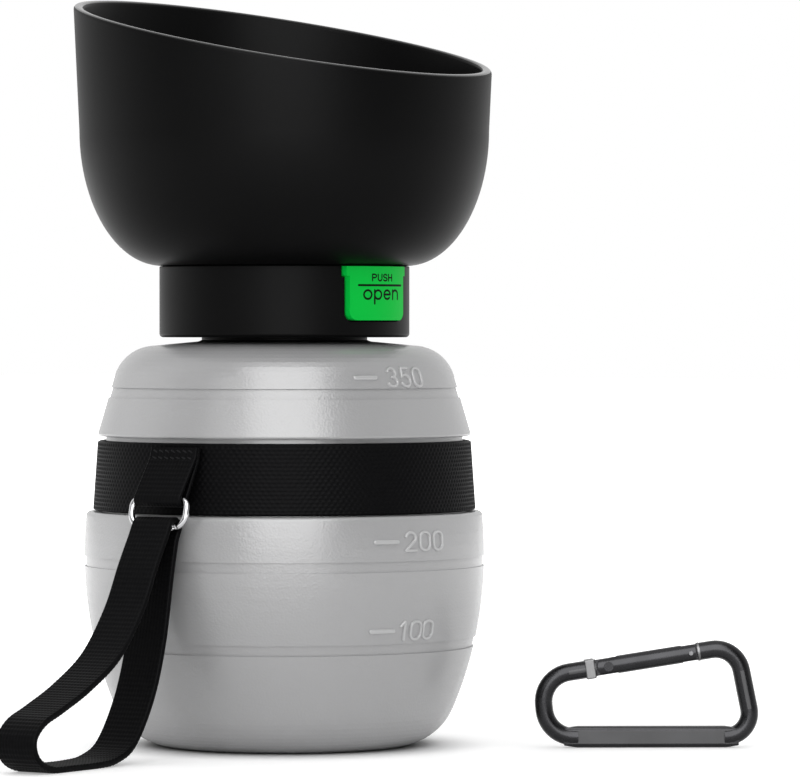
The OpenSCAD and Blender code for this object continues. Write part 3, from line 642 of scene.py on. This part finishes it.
# %% [markdown]
# The band is a wide tape that fills the bottle's waist and follows its slight taper. Seen
# from the side its bumps are wider than they are tall.

# %% Waist band
BAND_LOW = low_mm("waist_band")
BAND_TOP = top_mm("waist_band")
BAND_T = 1.5
BAND_LOW_R = 39.3
BAND_TAPER = 1.1 / 16.1
BAND_CELLS = 204
BAND_ROWS = 17
BAND_CLEAR = 0.05
band_w = BAND_TOP - BAND_LOW
band_mid_z = (BAND_TOP + BAND_LOW) / 2


def band_place(share, across, out):
    """A point of the band: share is the turn, across is upwards, out is outwards."""
    height = band_mid_z + across
    radius = BAND_LOW_R - BAND_TAPER * (height - BAND_LOW) + BAND_CLEAR + BAND_T / 2 + out
    return on_circle(radius, TAB_SIDE + 360 * share, height)


band_length = math.tau * (BAND_LOW_R + BAND_T)
waist_band = weave_tape("woven_band", band_place, band_length, BAND_CELLS, band_w, BAND_T, BAND_ROWS,
                        "bottle", closed=True, crown=staggered)
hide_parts("waist_band")

# %% [markdown]
# The tab, the ring and the strap lie in one upright plane through the bottle's axis. A
# point there has a distance from the axis and a height, and a third number says how far it
# lies to the side. A tape in that plane follows a line of points, so a helper finds the
# place and the direction at any share of the line's length.

# %% Helpers for a line in the tab's plane
out_way = Vector((math.cos(math.radians(TAB_SIDE)), math.sin(math.radians(TAB_SIDE)), 0))
side_way = Vector((-out_way.y, out_way.x, 0))
UP = Vector((0, 0, 1))


def in_plane(distance, height, side=0.0):
    """A point of the tab's plane, in metres."""
    return (out_way * distance + UP * height + side_way * side) * MM


def measure(line):
    """Running length at each point of a line."""
    lengths = [0.0]
    for a, b in zip(line, line[1:]):
        lengths.append(lengths[-1] + (b - a).length)
    return lengths


def walk(line, lengths, share):
    """The point and the direction at a share of the line's length."""
    goal = share * lengths[-1]
    i = 1
    while i < len(line) - 1 and lengths[i] < goal:
        i += 1
    step = lengths[i] - lengths[i - 1]
    mix = (goal - lengths[i - 1]) / step
    point = line[i - 1].lerp(line[i], mix)
    before = line[max(i - 2, 0)]
    after = line[min(i + 1, len(line) - 1)]
    ahead = ((line[i] - before) * (1 - mix) + (after - line[i - 1]) * mix).normalized()
    return point, ahead


def arc_points(centre, radius, start, end, steps):
    """Points on an arc, in degrees from start to end."""
    turns = [math.radians(start + (end - start) * i / steps) for i in range(steps + 1)]
    return [centre + radius * Vector((math.cos(t), math.sin(t))) for t in turns]


def smooth_curve(points, steps):
    """A smooth curve through points, with a number of steps between each two."""
    line = []
    for i in range(len(points) - 1):
        a = points[max(i - 1, 0)]
        b, c = points[i], points[i + 1]
        d = points[min(i + 2, len(points) - 1)]
        for k in range(steps):
            t = k / steps
            line.append(0.5 * (2 * b + (c - a) * t + (2 * a - 5 * b + 4 * c - d) * t * t
                               + (3 * b - a - 3 * c + d) * t ** 3))
    return line + [points[-1]]


# %% [markdown]
# The tab is a short tape sewn to the band at its top edge. It slants out to the ring, hugs
# the ring's bar and comes back up against the band, so from the side it is a narrow
# triangle with a dark gap. Its top was sewn a little to one side of the ring.

# %% Tab that holds the ring
BAR = Vector((44.847, 53.9))
WIRE_R = 0.68
MOVE_GAP = 0.3
TAB_T = 0.75
TAB_W = 12.0
TAB_TOP = 64.7
TAB_ROOT_R = 40.1
TAB_CELLS = 26
TAB_ROWS = 14
TAB_SKEW = 1.1
TAB_HUG = 0.12
HUG_FROM = 200
HUG_TO = 380
HUG_STEPS = 14
# Each layer's points at the root: how far out from the root, and how far below the top
BACK_LAYER = [(0, 0.2), (0.15, 3)]
FRONT_LAYER = [(TAB_T + 0.35, 2.4), (TAB_T + 0.05, 0.2)]


def tab_layer(places):
    """Points of one layer of the tab, near where it is sewn."""
    return [Vector((TAB_ROOT_R + TAB_T / 2 + out, TAB_TOP - down)) for out, down in places]


loop_r = WIRE_R + TAB_HUG + TAB_T / 2
tab_loop = arc_points(BAR, loop_r, HUG_FROM, HUG_TO, HUG_STEPS)
tab_line = tab_layer(BACK_LAYER) + tab_loop + tab_layer(FRONT_LAYER)
tab_lengths = measure(tab_line)


def tab_place(share, across, out):
    """A point of the tab's tape."""
    point, ahead = walk(tab_line, tab_lengths, share)
    outward = Vector((ahead.y, -ahead.x))
    spot = point + outward * out
    skew = TAB_SKEW * (spot.y - BAR.y) / (TAB_TOP - BAR.y)
    return in_plane(spot.x, spot.y, across + skew)


tab_piece = weave_tape("woven_tab", tab_place, tab_lengths[-1], TAB_CELLS, TAB_W, TAB_T, TAB_ROWS,
                       "bottle", closed=False, crown=ribbed)
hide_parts("dring_tab")

# %% [markdown]
# The D-ring is bent from bright wire: a straight bar with its corners turned tightly, and a
# shallow bow that the strap hangs from. A tube is swept along its closed line.

# %% Helper that sweeps a tube
WIRE_WELD = 1e-7


def sweep_tube(line, radius, sides):
    """A round tube along a closed line of points in metres, from a grid; returns the bmesh."""
    bm = bmesh.new()
    count = len(line)
    bmesh.ops.create_grid(bm, x_segments=count, y_segments=sides, size=0.5)
    frames = []
    last_side = None
    for i, point in enumerate(line):
        ahead = (line[(i + 1) % count] - line[i - 1]).normalized()
        side = last_side - ahead * last_side.dot(ahead) if last_side else ahead.orthogonal()
        last_side = side.normalized()
        frames.append((point, last_side, ahead.cross(last_side)))
    for vert in bm.verts:
        point, side, other = frames[round((vert.co.x + 0.5) * count) % count]
        turn = math.tau * round((vert.co.y + 0.5) * sides) / sides
        vert.co = point + radius * (math.cos(turn) * side + math.sin(turn) * other)
    return weld(bm, WIRE_WELD)


def round_outline(corners, steps):
    """A closed outline with each corner, given as x, y and radius, rounded by an arc."""
    points = []
    for i, (x, y, radius) in enumerate(corners):
        at = Vector((x, y))
        to_last = (Vector(corners[i - 1][:2]) - at).normalized()
        to_next = (Vector(corners[(i + 1) % len(corners)][:2]) - at).normalized()
        half = to_last.angle(to_next) / 2
        start = at + to_last * radius / math.tan(half)
        end = at + to_next * radius / math.tan(half)
        centre = at + (to_last + to_next).normalized() * radius / math.sin(half)
        bend = (start - centre).angle_signed(end - centre)
        for k in range(steps + 1):
            spoke = Matrix.Rotation(-bend * k / steps, 2) @ (start - centre)
            points.append(centre + spoke)
    return points


# %% D-ring
RING_LEAN = math.radians(11.5)
RING_HALF = 6.98
RING_H = 6.5
RING_SIDES = 20
RING_CORNER_R = 1.8
RING_SHOULDER = 1.3 - RING_H
RING_SHOULDER_R = 3
RING_BOW = -RING_H - 0.65
RING_BOW_R = 18
ring_outline = round_outline([
    (-RING_HALF, 0, RING_CORNER_R), (RING_HALF, 0, RING_CORNER_R),
    (RING_HALF, RING_SHOULDER, RING_SHOULDER_R), (0, RING_BOW, RING_BOW_R),
    (-RING_HALF, RING_SHOULDER, RING_SHOULDER_R)], steps=9)


def on_ring(side, drop):
    """A point of the ring's leaning plane, in metres."""
    return in_plane(BAR.x - drop * math.sin(RING_LEAN), BAR.y + drop * math.cos(RING_LEAN), side)


ring_line = [on_ring(p.x, p.y) for p in ring_outline]
ring_piece = finish_piece(sweep_tube(ring_line, WIRE_R * MM, RING_SIDES),
                          "steel_ring", bright_steel, "ring")
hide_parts("d_ring")

# %% [markdown]
# The wrist strap is one loop of narrow tape. It hangs over the ring's bow, falls along the
# bottle, touches the table and turns back up. Its line repeats the route of the solid
# strap, and leaves the bow at the slant at which it hangs.

# %% Wrist strap
BOW = Vector((BAR.x + RING_H * math.sin(RING_LEAN), BAR.y - RING_H * math.cos(RING_LEAN)))
STRAP_W = 10.0
STRAP_T = 1.1
STRAP_ROWS = 12
STRAP_CELL = 1.08
STRAP_FOLD_R = WIRE_R + 2 * MOVE_GAP + STRAP_T / 2
STRAP_ROUTE = [
    (2.9, 0.975), (6.6, 0.845), (11.4, 0.66), (19.2, 0.47), (29.2, 0.345),
    (38.2, 0.265), (44.2, 0.215), (47.3, 0.145), (46, 0.063), (41.2, 0.017),
    (34, 0.0135), (26, 0.014), (19.8, 0.028), (13.9, 0.09), (7.8, 0.28),
    (3.8, 0.516), (1.1, 0.8), (-0.5, 0.95)]
STRAP_STEPS = 8
FOLD_FROM = 175
FOLD_TO = 33
FOLD_STEPS = 12

strap_fold = arc_points(BOW + Vector((0, MOVE_GAP)), STRAP_FOLD_R, FOLD_FROM, FOLD_TO, FOLD_STEPS)
strap_free = smooth_curve([Vector((BOW.x + d, BOW.y * share)) for d, share in STRAP_ROUTE],
                          STRAP_STEPS)
strap_line = strap_fold + strap_free + strap_fold[:1]
strap_lengths = measure(strap_line)
strap_cells = round(strap_lengths[-1] / STRAP_CELL / 2) * 2


def strap_place(share, across, out):
    """A point of the strap's tape."""
    point, ahead = walk(strap_line, strap_lengths, share)
    outward = Vector((-ahead.y, ahead.x))
    spot = point + outward * out
    return in_plane(spot.x, spot.y, across)


strap_piece = weave_tape("woven_strap", strap_place, strap_lengths[-1], strap_cells, STRAP_W, STRAP_T,
                         STRAP_ROWS, "strap", closed=True, crown=ribbed)
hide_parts("wrist_strap")
print("strap length mm:", round(strap_lengths[-1], 1))

# %% [markdown]
# ## Marks
# The bottle is marked with a scale, and the button says what to do with it. Letters could be
# cut from a font's outlines, but a mould maker cuts such marks with one fine round cutter
# that follows a line. So each sign is a few lines in a box one wide and one high, and a low
# rounded ridge is laid along them. Turns and arcs are worked out from an oval.

# %% The lines of each sign
SIGN_STEPS = 14


def oval(x, y, half_w, half_h, start, end):
    """Points on an oval round x and y, between two angles in degrees."""
    turns = [math.radians(start + (end - start) * i / SIGN_STEPS) for i in range(SIGN_STEPS + 1)]
    return [(x + half_w * math.cos(t), y + half_h * math.sin(t)) for t in turns]


ROUND = oval(0.5, 0.7, 0.5, 0.3, 180, 0) + oval(0.5, 0.3, 0.5, 0.3, 0, -180) + [(0, 0.7)]
SIGNS = {
    "0": [ROUND],
    "1": [[(0.3, 0.76), (0.66, 1)], [(0.66, 1), (0.66, 0)]],
    "2": [oval(0.5, 0.7, 0.46, 0.3, 165, -32) + [(0.02, 0)], [(0.02, 0), (1, 0)]],
    "3": [oval(0.48, 0.76, 0.42, 0.24, 160, -90), oval(0.48, 0.26, 0.48, 0.26, 90, -160)],
    "5": [[(0.92, 1), (0.16, 1)], [(0.16, 1), (0.08, 0.54)], oval(0.46, 0.32, 0.5, 0.32, 138, -155)],
    "P": [[(0, 0), (0, 1)], [(0, 1), (0.5, 1)] + oval(0.5, 0.74, 0.5, 0.26, 90, -90) + [(0, 0.48)]],
    "U": [[(0, 1)] + oval(0.5, 0.34, 0.5, 0.34, 180, 360) + [(1, 1)]],
    "S": [oval(0.5, 0.75, 0.46, 0.25, 25, 270) + oval(0.5, 0.25, 0.5, 0.25, 90, -155)],
    "H": [[(0, 0), (0, 1)], [(1, 0), (1, 1)], [(0, 0.5), (1, 0.5)]],
    "o": [oval(0.5, 0.5, 0.5, 0.5, 0, 360)],
    "p": [[(0.04, 1), (0.04, -0.52)], oval(0.52, 0.5, 0.48, 0.5, 0, 360)],
    "e": [[(0.06, 0.52), (0.94, 0.52)], oval(0.5, 0.5, 0.48, 0.5, 2, 318)],
    "n": [[(0.06, 1), (0.06, 0)], oval(0.5, 0.56, 0.44, 0.44, 180, 0) + [(0.94, 0)]],
}
print("signs:", len(SIGNS))

# %% [markdown]
# A ridge is made on a flat drawing first, and a wrapping function then says where a point
# of the drawing lies on the bottle and which way is out. Open lines get round ends: the last
# few stations of the ridge narrow like a quarter circle.

# %% Helper that lays a ridge along a drawn line
ROUND_STATIONS = 4
RIDGE_SIDES = 8
RIDGE_FULLNESS = 0.45
RIDGE_WELD = 2e-7
STATION_MM = 0.5


def fine_line(line):
    """The line with more points, none further apart than one station."""
    points = []
    for a, b in zip(line, line[1:]):
        count = max(1, math.ceil((b - a).length / STATION_MM))
        points += [a.lerp(b, k / count) for k in range(count)]
    return points + [line[-1]]


def round_ends(line, half_width):
    """Stations along an open line: each is a point and its share of the full width."""
    turns = [math.radians(90 * k / ROUND_STATIONS) for k in range(ROUND_STATIONS, 0, -1)]
    back = (line[0] - line[1]).normalized() * half_width
    ahead = (line[-1] - line[-2]).normalized() * half_width
    start = [(line[0] + back * math.sin(t), math.cos(t)) for t in turns]
    end = [(line[-1] + ahead * math.sin(t), math.cos(t)) for t in reversed(turns)]
    return start + [(point, 1.0) for point in line] + end


def lay_ridge(bm, line, wrap, half_width, high, sunk):
    """A rounded ridge along a drawn line; wrap(point) gives a place in metres and an outward way."""
    line = fine_line([Vector(p) for p in line])
    closed = (line[0] - line[-1]).length < 1e-6
    stations = [(point, 1.0) for point in line[:-1]] if closed else round_ends(line, half_width)
    placed = [wrap(point) for point, _ in stations]
    turns = [math.pi * k / RIDGE_SIDES for k in range(RIDGE_SIDES + 1)]
    section = [(-math.cos(t), high * math.sin(t) ** RIDGE_FULLNESS) for t in turns]
    section += [(1, -sunk), (-1, -sunk)]
    last = len(stations) - 1
    rows = len(stations) if closed else last
    grid = bmesh.ops.create_grid(bm, x_segments=rows, y_segments=len(section), size=0.5)
    for vert in grid["verts"]:
        i = round((vert.co.x + 0.5) * rows) % len(stations)
        across, rise = section[round((vert.co.y + 0.5) * len(section)) % len(section)]
        spot, outward = placed[i]
        before = placed[i - 1] if closed or i else placed[0]
        after = placed[(i + 1) % len(placed)] if closed else placed[min(i + 1, last)]
        sideways = (after[0] - before[0]).cross(outward).normalized()
        share = stations[i][1]
        if rise > 0:
            rise *= math.sqrt(share)
        vert.co = spot + (sideways * across * half_width * share + outward * rise) * MM


def write_signs(bm, text, wrap, middle, low, sign_w, sign_h, gap, half_width, high, sunk):
    """Lays the signs of a word round its middle, standing on a low line, in millimetres."""
    left = middle - (len(text) * (sign_w + gap) - gap) / 2
    for i, sign in enumerate(text):
        for line in SIGNS[sign]:
            drawn = [(left + i * (sign_w + gap) + x * sign_w, low + y * sign_h) for x, y in line]
            lay_ridge(bm, drawn, wrap, half_width, high, sunk)


def round_wrap(radius, side=0.0):
    """A wrap for a round wall: x runs round it from a side in degrees, y is the height."""
    def wrap(point):
        turn = side + math.degrees(point.x / radius)
        return on_circle(radius, turn, point.y), outwards(turn)
    return wrap


# %% [markdown]
# The scale's marks are part of the silicone, so they lie on the bottle's own skin. A ray is
# sent from outside towards the axis for each station, and where it meets the solid bottle is
# the mark's foot. So the marks follow the belly and the rounded shoulder by themselves.

# %% Volume marks on the bottle
MARK_HALF = 0.31
MARK_HIGH = 0.46
MARK_SUNK = 0.15
DIGIT_W = 2.75
DIGIT_H = 3.75
TICK_HALF = 0.48
TICK_LENGTH = 5.3
RAY_START = 100.0
# Each mark: its number, its height, where its tick and its number stand, the bottle's radius
# there, and the gap between digits
VOLUME_MARKS = [("350", 79.0, 27.6, 43.9, 40.0, 1.3), ("200", 44.9, 29.7, 43.1, 42.9, 1.2),
                ("100", 26.3, 29.2, 41.0, 41.5, 0.75)]

body_mesh = nodes["bottle_body"].data
body_tree = BVHTree.FromPolygons([v.co for v in body_mesh.vertices],
                                 [p.vertices for p in body_mesh.polygons])


def on_body(side, middle_z, radius):
    """A wrap for marks on the bottle: x runs round it, y goes up from a middle height."""
    def wrap(point):
        turn = side + math.degrees(point.x / radius)
        start = on_circle(RAY_START, turn, middle_z + point.y)
        inwards = -outwards(turn)
        spot, normal, _, _ = body_tree.ray_cast(start, inwards)
        level = math.sqrt(max(0.0, 1 - normal.z ** 2))
        return spot, Vector((-inwards.x * level, -inwards.y * level, normal.z))
    return wrap


marks_mesh = bmesh.new()
for text, mark_z, tick_side, text_side, mark_r, gap in VOLUME_MARKS:
    lay_ridge(marks_mesh, [(-TICK_LENGTH / 2, 0), (TICK_LENGTH / 2, 0)],
              on_body(CAMERA_SIDE + tick_side, mark_z, mark_r), TICK_HALF, MARK_HIGH, MARK_SUNK)
    write_signs(marks_mesh, text, on_body(CAMERA_SIDE + text_side, mark_z, mark_r), 0, -DIGIT_H / 2,
                DIGIT_W, DIGIT_H, gap, MARK_HALF, MARK_HIGH, MARK_SUNK)
# The marks are painted paler than the body, a painted highlight on their raised tops.
finish_piece(weld(marks_mesh, RIDGE_WELD), "volume_marks", painted_light_silicone, "bottle")

# %% [markdown]
# The button's words are printed. Ink is a film much thinner than a hair, but it is laid as a
# very low ridge too, so that it keeps its edge from close by. It moves in with the button.

# %% Print on the button
BUTTON_SIDE = 270.0
BUTTON_R = 27.9
INK_HIGH = 0.035
INK_SUNK = 0.05
LINE_Z = 98.4
LINE_REACH = (-6.3, 7.3)
LINE_HALF = 0.23
WORDS_X = 0.5
# Each word: its low line, the width and height of a sign, the gap, and half a stroke's width
WORDS = [("PUSH", 99.35, 1.15, 1.35, 0.52, 0.165), ("open", 95.5, 2.15, 1.85, 0.78, 0.225)]

on_button = round_wrap(BUTTON_R, BUTTON_SIDE)
print_mesh = bmesh.new()
lay_ridge(print_mesh, [(x, LINE_Z) for x in LINE_REACH], on_button, LINE_HALF, INK_HIGH, INK_SUNK)
for word, low, sign_w, sign_h, gap, half in WORDS:
    write_signs(print_mesh, word, on_button, WORDS_X, low, sign_w, sign_h, gap, half,
                INK_HIGH, INK_SUNK)
finish_piece(weld(print_mesh, RIDGE_WELD), "button_print", ink, "button")

# %% [markdown]
# Thread stitches are short ridges too, laid on the tab's outer face. The hem at its top
# carries two rows, where the tape was folded under and sewn to the band.

# %% Stitches on the tab
STITCH_ROWS = (0.9, 2.3)
STITCH_PITCH = 1.5
STITCH_LENGTH = 0.8
STITCH_LEAN = 0.35
STITCH_HALF = 0.17
STITCH_HIGH = 0.16
STITCH_SUNK = 0.2
HEM_MARGIN = 1.0


def on_tab(point):
    """A wrap for the tab's outer face: x runs across it, y down from its top end."""
    share = 1 - point.y / tab_lengths[-1]
    spot = tab_place(share, point.x, TAB_T / 2)
    return spot, (tab_place(share, point.x, 1.0 + TAB_T / 2) - spot).normalized()


stitch_mesh = bmesh.new()
stitch_count = int((TAB_W - 2 * HEM_MARGIN) / STITCH_PITCH)
for row in STITCH_ROWS:
    for i in range(stitch_count + 1):
        x = (i - stitch_count / 2) * STITCH_PITCH
        ends = [(x + end * STITCH_LENGTH / 2, row + end * STITCH_LEAN / 2) for end in (-1, 1)]
        lay_ridge(stitch_mesh, ends, on_tab, STITCH_HALF, STITCH_HIGH, STITCH_SUNK)
finish_piece(weld(stitch_mesh, RIDGE_WELD), "tab_stitches", black_thread, "bottle")

# %% [markdown]
# ## The threaded neck
# The cap turns on a thread. It shows when the cap is off or half way up. The neck's wall is
# spun like the bowl's, a little slimmer where the thread is, and the thread is one more
# ridge: on paper it is a straight slanted line, and wrapped round the neck it is a helix.

# %% Neck with its thread
NECK_LOW = low_mm("neck_ring")
NECK_TOP = top_mm("neck_ring")
NECK_IN = 16.0
NECK_R = 18.5
NECK_ROOT_R = 17.75
NECK_FLANGE_R = 22.1
NECK_FLANGE_T = 2.0
THREAD_FROM = 87.6
THREAD_PITCH = 4.0
THREAD_TURNS = 1.15
THREAD_HALF = 0.95
THREAD_HIGH = 0.78
THREAD_SUNK = 0.2
STEP_BELOW = 1.1
STEP_RUN = 0.3
OUTER_CHAMFER = 0.4
INNER_CHAMFER = 0.3

flange_z = NECK_LOW + NECK_FLANGE_T
step_z = THREAD_FROM - STEP_BELOW
neck_profile = [
    (NECK_IN, NECK_LOW), (NECK_FLANGE_R - OUTER_CHAMFER, NECK_LOW),
    (NECK_FLANGE_R, NECK_LOW + OUTER_CHAMFER), (NECK_FLANGE_R, flange_z), (NECK_R, flange_z),
    (NECK_R, step_z), (NECK_ROOT_R, step_z + STEP_RUN), (NECK_ROOT_R, NECK_TOP - OUTER_CHAMFER),
    (NECK_ROOT_R - OUTER_CHAMFER, NECK_TOP), (NECK_IN + INNER_CHAMFER, NECK_TOP),
    (NECK_IN, NECK_TOP - INNER_CHAMFER)]
neck_mesh = spin_profile(neck_profile)
thread_run = math.tau * NECK_ROOT_R * THREAD_TURNS
lay_ridge(neck_mesh, [(0, THREAD_FROM), (thread_run, THREAD_FROM + THREAD_PITCH * THREAD_TURNS)],
          round_wrap(NECK_ROOT_R), THREAD_HALF, THREAD_HIGH, THREAD_SUNK)
neck_piece = finish_piece(weld(neck_mesh, RIDGE_WELD), "threaded_neck", black_plastic, "bottle",
                          smooth=False)
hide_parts("neck_ring")

# %% [markdown]
# ## Turned and bent parts
# The solid model draws the springs and the carabiner's rod with flat facets. Their shape is
# right, so each is copied, its loose triangles are merged, and only the real edges stay
# sharp. A smooth shading then makes the rod and the wires round.

# %% Helper that copies a solid piece smoothly
SHARP_FROM = math.radians(38)


def smooth_copy(node, name, material, body):
    """A merged copy of a CAD node that takes its place, smooth except at its real edges."""
    bm = bmesh.new()
    bm.from_mesh(nodes[node].data)
    bmesh.ops.remove_doubles(bm, verts=bm.verts, dist=WIRE_WELD)
    for edge in bm.edges:
        edge.smooth = len(edge.link_faces) == 2 and edge.calc_face_angle() < SHARP_FROM
    piece = finish_piece(bm, name, material, body)
    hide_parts(node)
    return piece


smooth_copy("valve_spring", "coil_of_valve", bright_steel, "cap")
smooth_copy("button_spring", "coil_of_button", bright_steel, "cap")
smooth_copy("gate_spring", "coil_of_gate", bright_steel, "gate")

# %% [markdown]
# The carabiner is bent from rod. Its long side is pressed flat in a die, which leaves two
# paler faces with pointed ends. The copy's flat faces are found by the way they look, and
# get the pressed finish. Where the rod meets the gate it is milled bright: a square
# shoulder at the hinge and a thin collar at the nose.

# %% Carabiner
CARABINER_TURN = math.radians(-47)
FLAT_AREA = 2e-6
FLAT_FACING = 0.999
carabiner = smooth_copy("carabiner_body", "bent_rod", anodised, "carabiner")
carabiner.data.materials.append(pressed)
turned = Matrix.Rotation(CARABINER_TURN, 4, "Z")
plane_way = turned.to_3x3() @ Vector((0, 1, 0))
flats = [p for p in carabiner.data.polygons
         if abs(p.normal.dot(plane_way)) > FLAT_FACING and p.area > FLAT_AREA]
for polygon in flats:
    polygon.material_index = 1
print("pressed faces:", len(flats))

# %% Bright shoulder and collar
# The line of the gate, in the carabiner's own flat frame, from the hinge side to the nose
GATE_START = Vector((-1.5, 0, 12.8))
GATE_END = Vector((40.3, 0, 19.4))
BESIDE_BOTTLE = Vector((56, -10, 2.3))
# Each piece's place on that line, its length along it and its width across
SHOULDER = (10.7, 2.1, 4.1)
SHOULDER_ROUND = 0.25
COLLAR = (34.1, 0.45, 3.96)
gate_way = (GATE_END - GATE_START).normalized()
gate_turn = Matrix.Rotation(-math.atan2(gate_way.z, gate_way.x), 4, "Y")


def on_gate(distance, length, width):
    """Where a unit shape goes to sit on the gate's line, with its x along the line."""
    middle = BESIDE_BOTTLE + GATE_START + gate_way * distance
    size = Matrix.Diagonal((length * MM, width * MM, width * MM, 1))
    return turned @ Matrix.Translation(middle * MM) @ gate_turn @ size


shoulder_mesh = bmesh.new()
bmesh.ops.create_cube(shoulder_mesh, size=1.0, matrix=on_gate(*SHOULDER))
bmesh.ops.bevel(shoulder_mesh, geom=shoulder_mesh.edges[:], offset=SHOULDER_ROUND * MM,
                offset_type="OFFSET", segments=3, profile=0.5, affect="EDGES",
                material=-1, clamp_overlap=True)
finish_piece(shoulder_mesh, "hinge_shoulder", milled, "carabiner", smooth=False)

collar_mesh = bmesh.new()
upright = Matrix.Rotation(math.pi / 2, 4, "Y")
bmesh.ops.create_cone(collar_mesh, cap_ends=True, segments=48, radius1=0.5, radius2=0.5, depth=1.0,
                      matrix=on_gate(*COLLAR) @ upright)
finish_piece(collar_mesh, "nose_collar", milled, "carabiner", smooth=False)

# %% [markdown]
# ## Studio
# The floor is a plain pale sheet that turns into the white backdrop far behind the bottle.
# The photograph's background is pure white, so for the camera and for reflections the floor
# also glows: not under the bottle, where the shadow has to stay, and fully far away. The
# shadow where the bottle touches the floor is too thin to show by itself under such even
# light, so the floor is also painted darker in a small disc under the bottle.

# %% Helpers for the studio's materials
def smooth_step(tree, value, start, end, last=1.0, first=0.0):
    """Goes smoothly from first to last as a value goes from start to end; returns the socket."""
    return add_node(tree, "ShaderNodeMapRange", {
        "Value": value, "From Min": start, "From Max": end, "To Min": first, "To Max": last},
        interpolation_type="SMOOTHSTEP").outputs[0]


def seen_by(tree, *rays):
    """1 for the rays of the named kinds and 0 for all others; returns the socket."""
    path = add_node(tree, "ShaderNodeLightPath")
    seen = path.outputs[rays[0]]
    for ray in rays[1:]:
        seen = calculate(tree, "MAXIMUM", seen, path.outputs[ray])
    return seen


# %% Floor
FLOOR_HALF = 6.0
FLOOR_TONE = 0.93
SHADE_TONE = 0.25
SHADE_RING = (0.026, 0.035)
SHADE_BEHIND = 4.5
# Each ring: where its glow starts and where it is full, in metres, and how strong it gets
GLOW_RINGS = [(0.030, 0.046, 0.30), (0.08, 0.6, 0.70)]
floor_mesh = bmesh.new()
bmesh.ops.create_grid(floor_mesh, x_segments=1, y_segments=1, size=FLOOR_HALF)
floor = mesh_object(floor_mesh, "floor")
floor_material, floor_tree, floor_shader, on_floor = start_material(
    "pale floor", Roughness=0.6, Specular_IOR_Level=0.2)
from_shade = add_node(floor_tree, "ShaderNodeVectorMath", {
    0: on_floor, 1: on_circle(SHADE_BEHIND, CAMERA_SIDE + 180, 0)}, operation="DISTANCE")
shade = smooth_step(floor_tree, from_shade.outputs["Value"], *SHADE_RING)
floor_colour = two_tones(floor_tree, shade, (SHADE_TONE,) * 3, (FLOOR_TONE,) * 3)
floor_tree.links.new(floor_colour, floor_shader.inputs["Base Color"])
away = add_node(floor_tree, "ShaderNodeVectorMath", {0: on_floor}, operation="LENGTH")
glows = [smooth_step(floor_tree, away.outputs["Value"], *ring) for ring in GLOW_RINGS]
seen = seen_by(floor_tree, "Is Camera Ray", "Is Glossy Ray", "Is Transmission Ray")
glow = calculate(floor_tree, "MULTIPLY", seen, calculate(floor_tree, "ADD", *glows))
floor_shader.inputs["Emission Color"].default_value = (1, 1, 1, 1)
floor_tree.links.new(glow, floor_shader.inputs["Emission Strength"])
paint(floor, floor_material)
print("floor:", 2 * FLOOR_HALF, "m wide")

# %% [markdown]
# Most of the light is the room's own, which is even from all sides. A few weak lamps give it
# a direction. The tall bright patch on the silicone is the picture of a large window behind
# the photographer. It is a lamp that only reflections see, so it adds its gloss and leaves
# the colours alone. No lamp shows itself to the camera.

# %% Lights
LAMP_AIM = 80.0


def area_light(name, degrees, distance, height, width, tall, power):
    """A soft rectangular lamp that faces the bottle; degrees are round the axis from +X."""
    data = bpy.data.lights.new(name, "AREA")
    data.shape = "RECTANGLE"
    data.size = width * MM
    data.size_y = tall * MM
    data.energy = power
    lamp = add_object(name, data)
    lamp.location = on_circle(distance, degrees, height)
    to_bottle = Vector((0, 0, LAMP_AIM * MM)) - lamp.location
    lamp.rotation_mode = "QUATERNION"
    lamp.rotation_quaternion = to_bottle.to_track_quat("-Z", "Y")
    lamp.visible_camera = False
    print("lamp:", name, "of", power, "W")
    return lamp


area_light("front_box", CAMERA_SIDE - 40, 900, 420, 300, 420, 0.9)
area_light("left_wall", CAMERA_SIDE - 105, 700, 250, 500, 700, 0.35)
area_light("top_box", CAMERA_SIDE, 60, 1000, 700, 700, 0.9)
window = area_light("front_window", CAMERA_SIDE + 1, 1300, 900, 1350, 2100, 48.0)
window.visible_diffuse = False

# %% [markdown]
# Behind the bottle hangs a white backdrop, and behind the camera the room is dim. The camera
# and clear pieces see plain white. Shiny pieces see the same white backdrop, and the dim
# room where they face the camera, which is what keeps black plastic black. The direction of
# the ray tells the two apart.

# %% World
ROOM_LIGHT = 0.87
DIM_ROOM = 0.12
DIM_FROM = -0.1
DIM_FULLY = 0.7
world = bpy.data.worlds.new("studio")
bpy.context.scene.world = world
world.use_nodes = True
world_tree = world.node_tree
background = world_tree.nodes["Background"]
direction = add_node(world_tree, "ShaderNodeTexCoord")
facing = add_node(world_tree, "ShaderNodeVectorMath", {
    0: direction.outputs["Generated"], 1: outwards(CAMERA_SIDE)}, operation="DOT_PRODUCT")
mirrored = smooth_step(world_tree, facing.outputs["Value"], DIM_FROM, DIM_FULLY, DIM_ROOM, 1.0)
lit = add_node(world_tree, "ShaderNodeMix", {
    "Factor": seen_by(world_tree, "Is Glossy Ray"), "A": ROOM_LIGHT, "B": mirrored})
clear = seen_by(world_tree, "Is Camera Ray", "Is Transmission Ray")
level = add_node(world_tree, "ShaderNodeMix", {"Factor": clear, "A": lit.outputs[0], "B": 1.0})
world_tree.links.new(level.outputs[0], background.inputs["Strength"])
background.inputs["Color"].default_value = (1, 1, 1, 1)
print("world:", world.name, "at", ROOM_LIGHT)

# %% [markdown]
# ## Close
# The scene is shown without any film look, so that colours come out as they are written.

# %% View
bpy.context.scene.view_settings.view_transform = "Standard"
